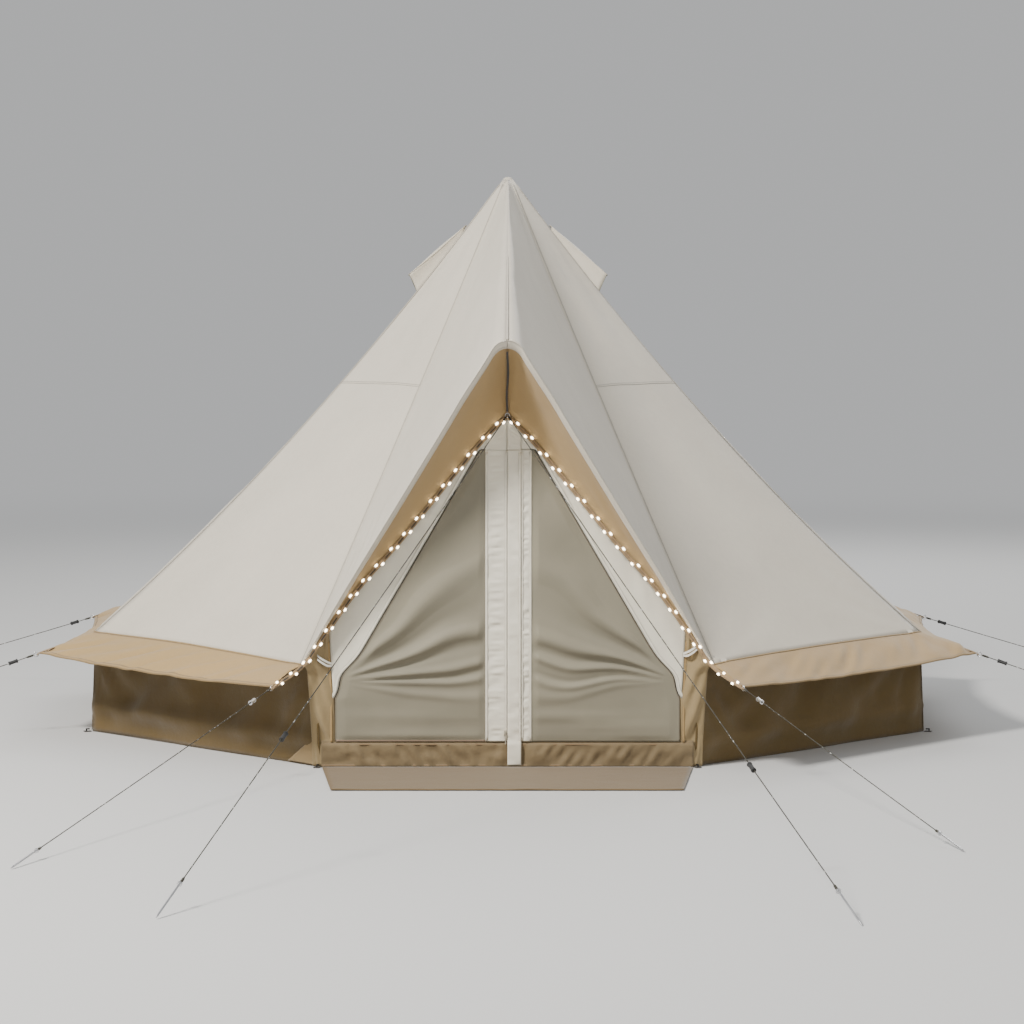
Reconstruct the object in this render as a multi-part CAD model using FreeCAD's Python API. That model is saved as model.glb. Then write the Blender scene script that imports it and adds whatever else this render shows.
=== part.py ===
"""Eight-sided bell tent on a centre pole and an A-frame door pole, pitched and guyed out.

Millimetres, +Z up. The origin is on the ground under the centre pole. The door faces -Y.
Eave corners are numbered 0 to 7 anticlockwise seen from above, from the corner right of the door.
"""
import FreeCAD
import Part
import math
import os

Vector = FreeCAD.Vector

# ---------------------------------------------------------------- driving dimensions
ACROSS_WALLS = 3960.0
WALL_HEIGHT = 476.0
PEAK_HEIGHT = 2660.0
FABRIC = 2.0

WALL_FOOT_RADIUS = ACROSS_WALLS / 2 / math.cos(math.pi / 8)
WALL_TOP_RADIUS = WALL_FOOT_RADIUS - 19.0
PEAK_RADIUS = 25.0
RIDGE_SAG = 118.0
RIDGE_RADII = (PEAK_RADIUS, 860.0, 1500.0, WALL_TOP_RADIUS)
FRONT_SEAM_RADII = (PEAK_RADIUS, 1006.0, 1652.0, 2220.0)
FRONT_SEAM_TURN = math.radians(23.7)
FRONT_CORNER_HEIGHT = 455.0

EAVE_RADIUS = 2398.0
EAVE_HEIGHT = 383.0
FRONT_EAVE_CORNER = Vector(1006, -2200, 375)

DOOR_WALL_Y = -1990.0
DOOR_WALL_LEAN = 0.012
DOOR_TOP = (122.0, 1385.0)
DOOR_KNEE = (755.0, 300.0)
DOOR_BOTTOM = 112.0
SILL_HEIGHT = 104.0
AWNING_PEAK = Vector(0, -2300, 1856)
GABLE_APEX = 1543.0
HEM_WIDTH = 34.0
STRIP_WIDTH = 18.0
STRIP_THICKNESS = 3.0

GUY_RUN = 1300.0
FRONT_STAKES = {0: Vector(1666, -4110, 0), 7: Vector(-1745, -4450, 0)}
DOOR_STAKES = {"door_left": Vector(-1126, -5330, 0), "door_right": Vector(1133, -5445, 0)}
TENSIONER_AT_EAVE = 0.09
TENSIONERS_AT_DOOR = {"door_left": 0.74, "door_right": 0.79}
CORD_DIAMETER = 4.0
CORD_SAG = 4.0
STAKE_LENGTH = 200.0
STAKE_RADIUS = 3.5
STAKE_HEAD_RADIUS = 9.0
STAKE_POINT = 22.0
RING_RADIUS = 11.0
RING_WIRE = 2.0
KNOT_RADIUS = 9.0
TENSIONER_LENGTH = 44.0
TENSIONER_RADIUS = 8.0
TENSIONER_BORE = 4.2
PEG_RADIUS = 3.0
PEG_HEIGHT = 15.0
PEG_LOOP_LENGTH = 34.0
PEG_LOOP_WIDTH = 26.0

# ---------------------------------------------------------------- small helpers


def export(name, shapes):
    """Write one sub-part, a solid or a list of separate solids, to its own file."""
    solids = shapes if isinstance(shapes, list) else [shapes]
    for number, solid in enumerate(solids):
        if not solid.isValid() or solid.Volume <= 0:
            print("BAD SOLID", name, number)
    shape = solids[0] if len(solids) == 1 else Part.makeCompound(solids)
    shape.exportStep("parts/" + name + ".step")


def mirrored(item):
    """The same point or list of points on the other side of the door's centre line."""
    if isinstance(item, Vector):
        return Vector(-item.x, item.y, item.z)
    return [mirrored(point) for point in item]


def triangle(a, b, c):
    return Part.Face(Part.makePolygon([a, b, c, a]))


def sheet(outer, inner, triangles):
    """A closed solid between two matching sets of points, joined by the same triangles."""
    faces = []
    directed = set()
    for corners in triangles:
        a, b, c = corners
        faces.append(triangle(outer[a], outer[b], outer[c]))
        faces.append(triangle(inner[c], inner[b], inner[a]))
        directed.update(((a, b), (b, c), (c, a)))
    for p, q in sorted(directed):
        if (q, p) in directed:
            continue
        # two sheets that meet along an edge split its rim the same way
        if tuple(outer[p]) < tuple(outer[q]):
            faces.append(triangle(outer[q], outer[p], inner[q]))
            faces.append(triangle(outer[p], inner[p], inner[q]))
        else:
            faces.append(triangle(outer[q], outer[p], inner[p]))
            faces.append(triangle(outer[q], inner[p], inner[q]))
    solid = Part.Solid(Part.Shell(faces))
    if solid.Volume < 0:
        solid.reverse()
    return solid.removeSplitter()


def plate(points, offset):
    """A flat or nearly flat convex panel, thickened along one offset vector."""
    fan = [(0, i, i + 1) for i in range(1, len(points) - 1)]
    return sheet(points, [point + offset for point in points], fan)


def unit(vector):
    return Vector(vector) * (1 / vector.Length)


def rod(start, end, radius):
    return Part.makeCylinder(radius, (end - start).Length, start, end - start)


def tube(start, end, radius, wall):
    bore_start = start - unit(end - start)
    bore_end = end + unit(end - start)
    return rod(start, end, radius).cut(rod(bore_start, bore_end, radius - wall))


def corner_direction(corner):
    """Outward direction of an eave corner of the regular octagon, on the ground plane."""
    angle = math.radians(-90 + 22.5 + 45 * corner)
    return Vector(math.cos(angle), math.sin(angle), 0)


# ---------------------------------------------------------------- the roof's lines


def ridge_height(radius):
    """Height of a regular corner seam, which hangs in a shallow curve below a straight line."""
    run = WALL_TOP_RADIUS - PEAK_RADIUS
    t = (radius - PEAK_RADIUS) / run
    return PEAK_HEIGHT + (WALL_HEIGHT - PEAK_HEIGHT) * t - 4 * RIDGE_SAG * t * (1 - t)


def seam_point(corner, level):
    """Outside of the roof on one corner seam, at one of the four levels from the peak down."""
    if corner in (0, 7):
        radius = FRONT_SEAM_RADII[level]
        t = (radius - PEAK_RADIUS) / (FRONT_SEAM_RADII[-1] - PEAK_RADIUS)
        side = 1 if corner == 0 else -1
        x = side * radius * math.sin(FRONT_SEAM_TURN)
        y = -radius * math.cos(FRONT_SEAM_TURN)
        return Vector(x, y, PEAK_HEIGHT + (FRONT_CORNER_HEIGHT - PEAK_HEIGHT) * t)
    radius = RIDGE_RADII[level]
    return corner_direction(corner) * radius + Vector(0, 0, ridge_height(radius))


def under(corner, point):
    """The matching point on the inside of the fabric at a corner seam."""
    return point - corner_direction(corner) * (0.72 * FABRIC) - Vector(0, 0, 0.69 * FABRIC)


def eave_point(corner):
    """Tip of the eave band at one corner."""
    if corner == 0:
        return Vector(FRONT_EAVE_CORNER)
    if corner == 7:
        return mirrored(FRONT_EAVE_CORNER)
    return corner_direction(corner) * EAVE_RADIUS + Vector(0, 0, EAVE_HEIGHT)


def panel_between(corner, top, bottom):
    """A four-cornered cloth panel between two neighbouring corner seams."""
    following = corner + 1
    outer = [top(corner), bottom(corner), bottom(following), top(following)]
    inner = [under(c, p) for c, p in zip((corner, corner, following, following), outer)]
    return sheet(outer, inner, [(0, 1, 2), (0, 2, 3)])


def gore(corner):
    """One roof gore: three cloth widths, one below the other."""
    widths = []
    for level in range(3):
        widths.append(panel_between(
            corner,
            lambda c, at=level: seam_point(c, at),
            lambda c, at=level + 1: seam_point(c, at),
        ))
    return widths


def make_roof():
    export("roof_gores_right", gore(0) + gore(1) + gore(2))
    export("roof_gore_rear", gore(3))
    export("roof_gores_left", gore(4) + gore(5) + gore(6))
    band = [panel_between(c, lambda k: seam_point(k, 3), eave_point) for c in range(7)]
    export("eave_band", band)
    export("peak_cap", Part.makeCone(33, 20, 12, Vector(0, 0, PEAK_HEIGHT + 0.5)))


# ---------------------------------------------------------------- the awning over the door


def door_wall(x, z, outward=0.0):
    """A point on the door wall, which leans in a little towards the top."""
    return Vector(x, DOOR_WALL_Y + DOOR_WALL_LEAN * z - outward, z)


def hem_line(side):
    """Front edge of the awning, from its peak down towards the corner of the eave band."""
    return [
        Vector(AWNING_PEAK),
        Vector(side * 95, -2283, 1768),
        Vector(side * 261, -2225, 1504),
        Vector(side * 451, -2150, 1193),
        Vector(side * 700, -2084, 775),
    ]


def gable_line(side):
    """Top edge of the door wall, where the strip light lies."""
    return [
        door_wall(0, GABLE_APEX, 4),
        door_wall(side * 112, 1431, 6),
        door_wall(side * 286, 1221, 12),
        door_wall(side * 464, 1002, 20),
        door_wall(side * 650, 792, 30),
        door_wall(side * 800, 584, 36),
    ]


def awning_half(side):
    """The roof facet over the door, on one side of the front ridge."""
    corner = 0 if side > 0 else 7
    seam = [seam_point(corner, level) for level in range(4)]
    hem = hem_line(side)
    outer = seam + hem
    down = Vector(-side * 0.8, 0.2, -0.55) * FABRIC
    inner = [under(corner, p) for p in seam] + [p + down for p in hem]
    inner[4] = hem[0] + Vector(0, 0.2, -1) * FABRIC
    triangles = [(0, 4, 5), (0, 5, 1), (5, 6, 1), (6, 7, 1), (7, 2, 1), (7, 8, 2), (8, 3, 2)]
    if side > 0:
        triangles = [(c, b, a) for a, b, c in triangles]
    return sheet(outer, inner, triangles)


def soffit_half(side):
    """The underside of the awning, from its front edge back to the top of the door wall."""
    hem = hem_line(side)
    gable = gable_line(side)
    inset = Vector(-side * 6, 4, -6)
    outer = [hem[0] + Vector(0, 6, -9)] + [p + inset for p in hem[1:]] + gable
    back = Vector(side * 0.7, 1.2, 1.2)
    inner = [p + back for p in outer]
    for on_centre in (0, 5):
        inner[on_centre] = outer[on_centre] + Vector(0, 1.2, 1.4)
    triangles = [(0, 5, 6), (0, 6, 1), (1, 6, 7), (1, 7, 2), (2, 7, 8), (2, 8, 3)]
    triangles += [(3, 8, 9), (3, 9, 4), (4, 9, 10)]
    if side > 0:
        triangles = [(c, b, a) for a, b, c in triangles]
    return sheet(outer, inner, triangles)


def hem_half(side):
    """A stitched facing along the front edge of the awning."""
    hem = hem_line(side)
    width = Vector(-side * 0.59, 0.35, -0.82) * HEM_WIDTH
    face = [p + Vector(-side * 3, -1, -4) for p in hem]
    face[0] = hem[0] + Vector(0, 1, -5)
    inset = [face[0] + Vector(0, 0.4, -1) * HEM_WIDTH] + [p + width for p in face[1:]]
    outer = face + inset
    inner = [p + Vector(0, 0.8, -0.8) for p in outer]
    count = len(face)
    triangles = []
    for i in range(count - 1):
        triangles += [(i, i + count, i + count + 1), (i, i + count + 1, i + 1)]
    if side > 0:
        triangles = [(c, b, a) for a, b, c in triangles]
    return sheet(outer, inner, triangles)


def make_awning():
    for name, side in (("left", -1), ("right", 1)):
        export("awning_" + name, awning_half(side))
    export("awning_soffit", [soffit_half(-1), soffit_half(1)])
    export("awning_hem", [hem_half(-1), hem_half(1)])


# ---------------------------------------------------------------- walls, floor and door wall


def wall_foot(corner):
    return corner_direction(corner) * WALL_FOOT_RADIUS


def wall_top(corner):
    """Top of the wall, just under the roof fabric."""
    if corner in (0, 7):
        side = 1 if corner == 0 else -1
        return Vector(side * 836, -1992, FRONT_CORNER_HEIGHT - 3)
    return corner_direction(corner) * (WALL_TOP_RADIUS - 2) + Vector(0, 0, WALL_HEIGHT - 4)


def make_walls_and_floor():
    walls = []
    for corner in range(7):
        outer = [wall_top(corner), wall_foot(corner), wall_foot(corner + 1), wall_top(corner + 1)]
        pair = (corner, corner, corner + 1, corner + 1)
        inner = [p - corner_direction(c) * FABRIC for c, p in zip(pair, outer)]
        walls.append(sheet(outer, inner, [(0, 1, 2), (0, 2, 3)]))
    export("wall_panels", walls)
    floor_radius = WALL_FOOT_RADIUS - 14
    corners = [corner_direction(c) * floor_radius for c in range(8)]
    octagon = Part.Face(Part.makePolygon(corners + [corners[0]]))
    export("groundsheet", octagon.extrude(Vector(0, 0, FABRIC)))
    mat_back = [Vector(-808, -2006, 0), Vector(808, -2006, 0)]
    mat_front = [Vector(731, -2656, 0), Vector(-731, -2656, 0)]
    export("doormat", plate(mat_back + mat_front, Vector(0, 0, 3)))


def door_edge(side, gap):
    """Slanted edge of the door opening, moved sideways by a gap away from the centre."""
    top = door_wall(side * (DOOR_TOP[0] + gap), DOOR_TOP[1])
    knee = door_wall(side * (DOOR_KNEE[0] + gap), DOOR_KNEE[1])
    return top, knee


def make_door_wall():
    inward = Vector(0, FABRIC, 0)
    surround = []
    gussets = []
    for side in (-1, 1):
        top, knee = door_edge(side, 4)
        gable = gable_line(side)
        rim = [door_wall(p.x, p.z - 6) for p in gable[:5]]
        rim[0] = door_wall(0, GABLE_APEX - 14)
        shoulder = door_wall(side * 775, 560)
        centre_top = door_wall(0, DOOR_TOP[1] + 6)
        side_top = door_wall(side * (DOOR_TOP[0] - 4), DOOR_TOP[1] + 6)
        outer = rim + [shoulder, knee, top, side_top, centre_top]
        inner = [p + inward for p in outer]
        triangles = [(0, 1, 9), (1, 8, 9), (1, 7, 8), (1, 2, 7), (2, 3, 7), (3, 6, 7), (3, 4, 6), (4, 5, 6)]
        if side < 0:
            triangles = [(c, b, a) for a, b, c in triangles]
        surround.append(sheet(outer, inner, triangles))
        gusset = [
            door_wall(side * 779, 556),
            door_wall(side * 824, 440),
            door_wall(side * 812, 108),
            door_wall(side * (DOOR_KNEE[0] + 4), 108),
            door_wall(side * (DOOR_KNEE[0] + 4), 296),
        ]
        gussets.append(plate(gusset, inward))
    export("door_surround", surround)
    export("door_gussets", gussets)
    sill = [door_wall(-812, 1), door_wall(812, 1), door_wall(812, SILL_HEIGHT), door_wall(-812, SILL_HEIGHT)]
    export("door_sill", plate(sill, Vector(0, FABRIC, 0)))


def make_door_flaps():
    """Two zipped leaves that swing out on the slanted edges of the door opening."""
    outward = Vector(0, -FABRIC, 0)
    for name, side in (("left", -1), ("right", 1)):
        top, knee = door_edge(side, -4)
        meeting = 7.0 if side < 0 else 2.0
        leaf = [
            top,
            knee,
            door_wall(side * (DOOR_KNEE[0] - 4), DOOR_BOTTOM),
            door_wall(side * meeting, DOOR_BOTTOM),
            door_wall(side * meeting, DOOR_TOP[1]),
        ]
        export("door_flap_" + name, plate(leaf, outward))
    cover = [door_wall(2, 8, 8), door_wall(66, 8, 8), door_wall(66, 1382, 8), door_wall(2, 1382, 8)]
    export("zip_cover", plate(cover, Vector(0, 3, 0)))
    low = door_wall(-8, 150, 10.5)
    body = Part.makeBox(14, 8, 24, low + Vector(-7, 0, -12))
    bridge = Part.makeBox(4, 6, 14, low + Vector(-2, -6, -7))
    bridge = bridge.cut(Part.makeBox(8, 3.4, 7, low + Vector(-4, -4.4, -3.5)))
    export("zip_slider", body.fuse(bridge).removeSplitter())
    pin = low + Vector(0, -2.6, 0)
    loop = Part.makeTorus(7.0, 1.0, pin + Vector(0, 0, -7), Vector(0, 1, 0))
    tab = Part.makeBox(5, 2.4, 34, pin + Vector(-2.5, -1.2, -48.0))
    export("zip_pull", loop.fuse(tab))
    print("zip pin", [round(v, 2) for v in pin])


# ---------------------------------------------------------------- vents


def side_gore_point(side, distance, y):
    """A point on the outside of the upper side gore, by its distance out from the axis."""
    high = seam_point(1, 0)
    low = seam_point(1, 1)
    t = (distance - high.x) / (low.x - high.x)
    return Vector(side * distance, y, high.z + (low.z - high.z) * t)


def make_vents():
    """A propped hood and a mesh screen high on the gores at both sides."""
    screens = []
    for name, side in (("left", -1), ("right", 1)):
        hinge_at = 205.0
        mesh_top = side_gore_point(side, hinge_at + 22, 0)
        mesh_low = side_gore_point(side, 395, 0)
        lift = Vector(side * 1.2, 0, 0.9)
        outline = []
        for point, half in ((mesh_top, 75), (mesh_low, 135)):
            outline += [point + lift + Vector(0, -half, 0), point + lift + Vector(0, half, 0)]
        outline = [outline[0], outline[2], outline[3], outline[1]]
        screens.append(plate(outline, Vector(side * 1.2, 0, 0.9)))
        hinge = side_gore_point(side, hinge_at, 0) + Vector(side * 4, 0, 4)
        lip = Vector(side * 490, 0, 2185)
        hood = [
            hinge + Vector(0, -80, 0),
            lip + Vector(0, -165, 0),
            lip + Vector(0, 165, 0),
            hinge + Vector(0, 80, 0),
        ]
        export("vent_hood_" + name, plate(hood, Vector(-side * 1.3, 0, -1.5)))
    export("vent_screens", screens)


# ---------------------------------------------------------------- poles


POLE_FLOOR = FABRIC + 0.3
LOWER_POLE_TOP = 1350.0
POLE_LAP = 150.0
LOWER_POLE_RADIUS = 17.0
UPPER_POLE_RADIUS = 15.0
POLE_WALL = 1.5
BUTTON_HEIGHT = LOWER_POLE_TOP - 60.0
DOOR_POLE_TOP = Vector(0, -1940, 1905)
DOOR_POLE_RADIUS = 9.5


def make_centre_pole():
    button_hole = rod(Vector(0, 0, BUTTON_HEIGHT), Vector(0, -40, BUTTON_HEIGHT), 5.3)
    foot_top = POLE_FLOOR + 40
    lower = tube(Vector(0, 0, POLE_FLOOR + 8), Vector(0, 0, LOWER_POLE_TOP), LOWER_POLE_RADIUS, POLE_WALL)
    export("centre_pole_lower", lower.cut(button_hole))
    upper_low = LOWER_POLE_TOP - POLE_LAP
    upper_high = PEAK_HEIGHT - 62
    upper = tube(Vector(0, 0, upper_low), Vector(0, 0, upper_high), UPPER_POLE_RADIUS, POLE_WALL)
    export("centre_pole_upper", upper.cut(button_hole))
    cup = Part.makeCylinder(24, foot_top - POLE_FLOOR, Vector(0, 0, POLE_FLOOR))
    socket = Part.makeCylinder(LOWER_POLE_RADIUS, 60, Vector(0, 0, POLE_FLOOR + 8))
    export("centre_pole_foot", cup.cut(socket))
    dome = Part.makeSphere(22, Vector(0, 0, upper_high + 12))
    below = Part.makeBox(80, 80, 40, Vector(-40, -40, upper_high - 28))
    plug_radius = UPPER_POLE_RADIUS - POLE_WALL
    plug = Part.makeCylinder(plug_radius, 36, Vector(0, 0, upper_high - 30))
    collar = Part.makeCylinder(22, 12, Vector(0, 0, upper_high))
    export("centre_pole_cap", dome.cut(below).fuse([plug, collar]).removeSplitter())
    button = rod(Vector(0, -9, BUTTON_HEIGHT), Vector(0, -21, BUTTON_HEIGHT), 5.0)
    export("centre_pole_button", button)


def make_door_pole():
    """An A-frame just behind the door wall: two legs and a moulded hub under the front ridge."""
    hub_parts = []
    bores = []
    for name, side in (("left", -1), ("right", 1)):
        foot = Vector(side * 800, -1930, POLE_FLOOR + 5)
        along = unit(foot - DOOR_POLE_TOP)
        start = DOOR_POLE_TOP + along * 55
        export("door_pole_" + name, tube(start, foot, DOOR_POLE_RADIUS, POLE_WALL))
        hub_parts.append(rod(DOOR_POLE_TOP, DOOR_POLE_TOP + along * 135, DOOR_POLE_RADIUS + 3))
        bores.append(rod(start, start + along * 200, DOOR_POLE_RADIUS))
    hub = hub_parts[0].fuse([hub_parts[1], Part.makeSphere(22, DOOR_POLE_TOP)])
    export("door_pole_hub", hub.cut(Part.makeCompound(bores)).removeSplitter())


# ---------------------------------------------------------------- strip light


def make_lighting():
    """A light strip along both edges of the gable, run from a battery case inside."""
    strips = []
    for side in (-1, 1):
        drops = [Vector(0, -12, -12)] * 4 + [Vector(0, -14, -16), Vector(0, -18, -16), Vector(0, -26, -18)]
        line = gable_line(side) + [seam_point(0 if side > 0 else 7, 3)]
        line = [p + drop for p, drop in zip(line, drops)]
        # the strip lies flat against the wall, so its width runs across its own slope
        edges = []
        for i, point in enumerate(line):
            before = line[max(i - 1, 0)]
            after = line[min(i + 1, len(line) - 1)]
            slope = unit(Vector(after.x - before.x, 0, after.z - before.z))
            across = Vector(-slope.z, 0, slope.x) * (STRIP_WIDTH / 2)
            if i == 0:
                across = Vector(0, 0, side * STRIP_WIDTH / 1.4)
            edges.append((point + across, point - across))
        outer = [pair[0] for pair in edges] + [pair[1] for pair in edges]
        inner = [p + Vector(0, STRIP_THICKNESS, 0) for p in outer]
        count = len(line)
        triangles = []
        for i in range(count - 1):
            triangles += [(i, i + 1, i + count + 1), (i, i + count + 1, i + count)]
        strips.append(sheet(outer, inner, triangles))
    export("led_strip", strips)
    case_corner = Vector(-1050, -1560, POLE_FLOOR)
    case = Part.makeBox(140, 80, 42, case_corner)
    case = case.makeFillet(6, [e for e in case.Edges if abs(e.tangentAt(0).z) > 0.9])
    button_base = case_corner + Vector(110, 40, 42)
    well = Part.makeCylinder(8.4, 6, button_base - Vector(0, 0, 5))
    export("led_battery_case", case.cut(well))
    export("led_switch", Part.makeCylinder(8.0, 5, button_base - Vector(0, 0, 2.2)))


# ---------------------------------------------------------------- cable port


def make_cable_port():
    """A triangular flap at the foot of the wall left of the door, hinged on its long edge."""
    corner = wall_foot(7)
    along = unit(wall_foot(6) - corner)
    outward = Vector(along.y, -along.x, 0)
    if outward.y > 0:
        outward = outward * -1
    # the wall leans out a little at this corner, and the flap leans with it
    top = corner + along * 8 + Vector(0, 0, 148) + outward * 13
    far = corner + along * 206 + Vector(0, 0, 8) + outward * 6
    near = corner + along * 8 + Vector(0, 0, 8) + outward * 6
    export("cable_port_flap", plate([top, far, near], outward * -FABRIC))
    print("cable port hinge", [round(v, 2) for v in top], [round(v, 2) for v in far])


# ---------------------------------------------------------------- guylines


def cord_tube(points, radius):
    """A tube along straight runs joined by tangent arcs as large as the runs allow."""
    edges = []
    start = points[0]
    for i in range(1, len(points) - 1):
        before = unit(points[i - 1] - points[i])
        after = unit(points[i + 1] - points[i])
        half_turn = (math.pi - before.getAngle(after)) / 2
        run = min((points[i] - points[i - 1]).Length, (points[i + 1] - points[i]).Length)
        reach = 0.45 * run
        arc_radius = reach / math.tan(half_turn)
        print("arc radius", round(arc_radius))
        enter = points[i] + before * reach
        leave = points[i] + after * reach
        bisector = unit(before + after)
        depth = arc_radius / math.cos(half_turn) - arc_radius
        middle = points[i] + bisector * depth
        edges.append(Part.LineSegment(start, enter).toShape())
        edges.append(Part.Arc(enter, middle, leave).toShape())
        start = leave
    edges.append(Part.LineSegment(start, points[-1]).toShape())
    path = Part.Wire(edges)
    circle = Part.Wire(Part.makeCircle(radius, points[0], points[1] - points[0]))
    solid = path.makePipeShell([circle], True, True)
    expected = math.pi * radius ** 2 * path.Length
    if abs(solid.Volume / expected - 1) > 0.01:
        print("BAD CORD VOLUME", solid.Volume, expected)
    return solid


def ring(centre, along):
    """A wire ring that lies in the upright plane of its guyline."""
    flat = unit(Vector(-along.y, along.x, 0))
    return Part.makeTorus(RING_RADIUS, RING_WIRE, centre, flat)


def stake(tip, up_line):
    """A round steel peg in line with its guyline, with a head that the cord is tied to."""
    neck = STAKE_LENGTH - 6
    cone = Part.makeCone(0.6, STAKE_RADIUS, STAKE_POINT, tip, up_line)
    shank = rod(tip + up_line * STAKE_POINT, tip + up_line * neck, STAKE_RADIUS)
    head = rod(tip + up_line * neck, tip + up_line * STAKE_LENGTH, STAKE_HEAD_RADIUS)
    return shank.fuse([cone, head]).removeSplitter()


def tensioner(centre, along):
    """A short barrel that grips the cord and slides along it."""
    half = TENSIONER_LENGTH / 2
    barrel = rod(centre - along * half, centre + along * half, TENSIONER_RADIUS)
    for end in (-half, half):
        flange = rod(centre + along * end, centre + along * (end * 0.73), TENSIONER_RADIUS + 1.5)
        barrel = barrel.fuse(flange)
    bore = rod(centre - along * TENSIONER_LENGTH, centre + along * TENSIONER_LENGTH, TENSIONER_BORE)
    return barrel.cut(bore).removeSplitter()


GUY_NAMES = {
    0: "front_right",
    1: "right_front",
    2: "right_rear",
    3: "rear_right",
    4: "rear_left",
    5: "left_rear",
    6: "left_front",
    7: "front_left",
}


def make_guyline(name, start, ground, bend, tensioner_at, sag):
    """One cord from its ring to the head of its stake, and the tensioner on it."""
    tip = ground + Vector(0, 0, 3.6)
    up_line = unit(start - tip)
    end = tip + up_line * (STAKE_LENGTH + 0.4)
    middle = start + (end - start) * bend - Vector(0, 0, sag)
    export("guyline_" + name, cord_tube([start, middle, end], CORD_DIAMETER / 2))
    if tensioner_at < bend:
        along = unit(middle - start)
        centre = start + along * (tensioner_at * (end - start).Length)
    else:
        along = unit(end - middle)
        centre = end - along * ((1 - tensioner_at) * (end - start).Length)
    export("tensioner_" + name, tensioner(centre, along))
    print("guyline", name, "route", [[round(v, 2) for v in p] for p in (start, middle, end)])
    print("guyline", name, "length", round((middle - start).Length + (end - middle).Length, 1))
    print("tensioner", name, "axis", [round(v, 6) for v in along])
    return stake(tip, up_line)


def make_guylines():
    rings = []
    stakes = []
    for corner, name in GUY_NAMES.items():
        anchor = eave_point(corner)
        ground = Vector(anchor.x, anchor.y, 0) + corner_direction(corner) * GUY_RUN
        ground = FRONT_STAKES.get(corner, ground)
        outward = unit(ground - anchor)
        rings.append(ring(anchor + outward * (RING_RADIUS + RING_WIRE), outward))
        start = anchor + outward * (2 * RING_RADIUS + 2 * RING_WIRE + 0.4)
        stakes.append(make_guyline(name, start, ground, 0.5, TENSIONER_AT_EAVE, CORD_SAG))
    knot = door_wall(0, GABLE_APEX - 8, 26)
    for name, side in (("door_left", -1), ("door_right", 1)):
        start = knot + Vector(side * 6, -4.5, -7)
        held_at = TENSIONERS_AT_DOOR[name]
        stakes.append(make_guyline(name, start, DOOR_STAKES[name], 0.38, held_at, 3 * CORD_SAG))
    rings.append(Part.makeTorus(KNOT_RADIUS, RING_WIRE, knot, Vector(0, 1, 0)))
    export("guy_rings", rings)
    export("guy_stakes", stakes)
    strap_top = AWNING_PEAK + Vector(0, 22, -42)
    strap_low = knot + Vector(0, 0, 13)
    half = Vector(7, 0, 0)
    strap = [strap_top - half, strap_low - half, strap_low + half, strap_top + half]
    export("ridge_strap", plate(strap, Vector(0, 1.2, 1.2)))


def make_wall_pegs():
    """A webbing loop and a peg head at each foot of the wall."""
    loops = []
    pegs = []
    for corner in range(8):
        outward = corner_direction(corner)
        inner_end = wall_foot(corner) + outward * 6
        across = Vector(-outward.y, outward.x, 0) * (PEG_LOOP_WIDTH / 2)
        outer_end = inner_end + outward * PEG_LOOP_LENGTH
        strip = plate([inner_end - across, outer_end - across, outer_end + across, inner_end + across],
                      Vector(0, 0, 3))
        at = inner_end + outward * (PEG_LOOP_LENGTH * 0.65)
        loops.append(strip.cut(Part.makeCylinder(PEG_RADIUS + 1, 10, at - Vector(0, 0, 4))))
        pin = Part.makeCylinder(PEG_RADIUS, PEG_HEIGHT, at)
        bend = at + Vector(0, 0, PEG_HEIGHT - PEG_RADIUS)
        hook = rod(bend + outward * PEG_RADIUS, bend - outward * 16, PEG_RADIUS)
        pegs.append(pin.fuse(hook).removeSplitter())
    export("peg_loops", loops)
    export("wall_pegs", pegs)


os.makedirs("parts", exist_ok=True)
make_roof()
make_awning()
make_walls_and_floor()
make_door_wall()
make_door_flaps()
make_vents()
make_centre_pole()
make_door_pole()
make_lighting()
make_cable_port()
make_guylines()
make_wall_pegs()
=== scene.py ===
"""The looks of the eight-sided bell tent: cloth, cords, strip light and fittings around the CAD frame."""
import bpy
import math
import numpy as np
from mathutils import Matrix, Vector


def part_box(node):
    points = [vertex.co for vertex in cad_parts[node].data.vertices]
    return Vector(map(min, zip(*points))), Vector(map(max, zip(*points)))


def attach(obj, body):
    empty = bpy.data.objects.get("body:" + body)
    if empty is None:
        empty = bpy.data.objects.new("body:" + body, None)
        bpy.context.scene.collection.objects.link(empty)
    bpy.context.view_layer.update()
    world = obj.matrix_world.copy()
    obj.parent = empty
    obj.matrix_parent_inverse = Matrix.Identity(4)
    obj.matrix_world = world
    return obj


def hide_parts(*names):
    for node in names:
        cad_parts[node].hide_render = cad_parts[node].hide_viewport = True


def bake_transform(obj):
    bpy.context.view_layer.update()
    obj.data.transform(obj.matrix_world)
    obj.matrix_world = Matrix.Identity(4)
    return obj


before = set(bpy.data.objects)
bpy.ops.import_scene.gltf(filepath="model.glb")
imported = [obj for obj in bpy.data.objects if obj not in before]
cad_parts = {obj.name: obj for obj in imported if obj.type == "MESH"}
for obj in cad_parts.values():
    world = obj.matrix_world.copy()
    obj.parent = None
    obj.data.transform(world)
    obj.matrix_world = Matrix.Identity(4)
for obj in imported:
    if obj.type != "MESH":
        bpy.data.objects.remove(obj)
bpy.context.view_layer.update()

# ---------------------------------------------------------------- sizes from the frame, in metres
LAST_CORNER = 7
wall_low, wall_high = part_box("wall_panels")
band_low, band_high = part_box("eave_band")
APOTHEM = wall_high[0]
FOOT_RADIUS = APOTHEM / math.cos(math.pi / 8)
WALL_TOP_RADIUS = FOOT_RADIUS - 0.019
ROOF_FOOT = wall_high[2] + 0.004
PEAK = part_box("roof_gore_rear")[1][2]
EAVE_RADIUS = band_high[0] / math.cos(math.pi / 8)
EAVE_HEIGHT = 0.383
PEAK_RADIUS = 0.025
RIDGE_SAG = 0.118

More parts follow.
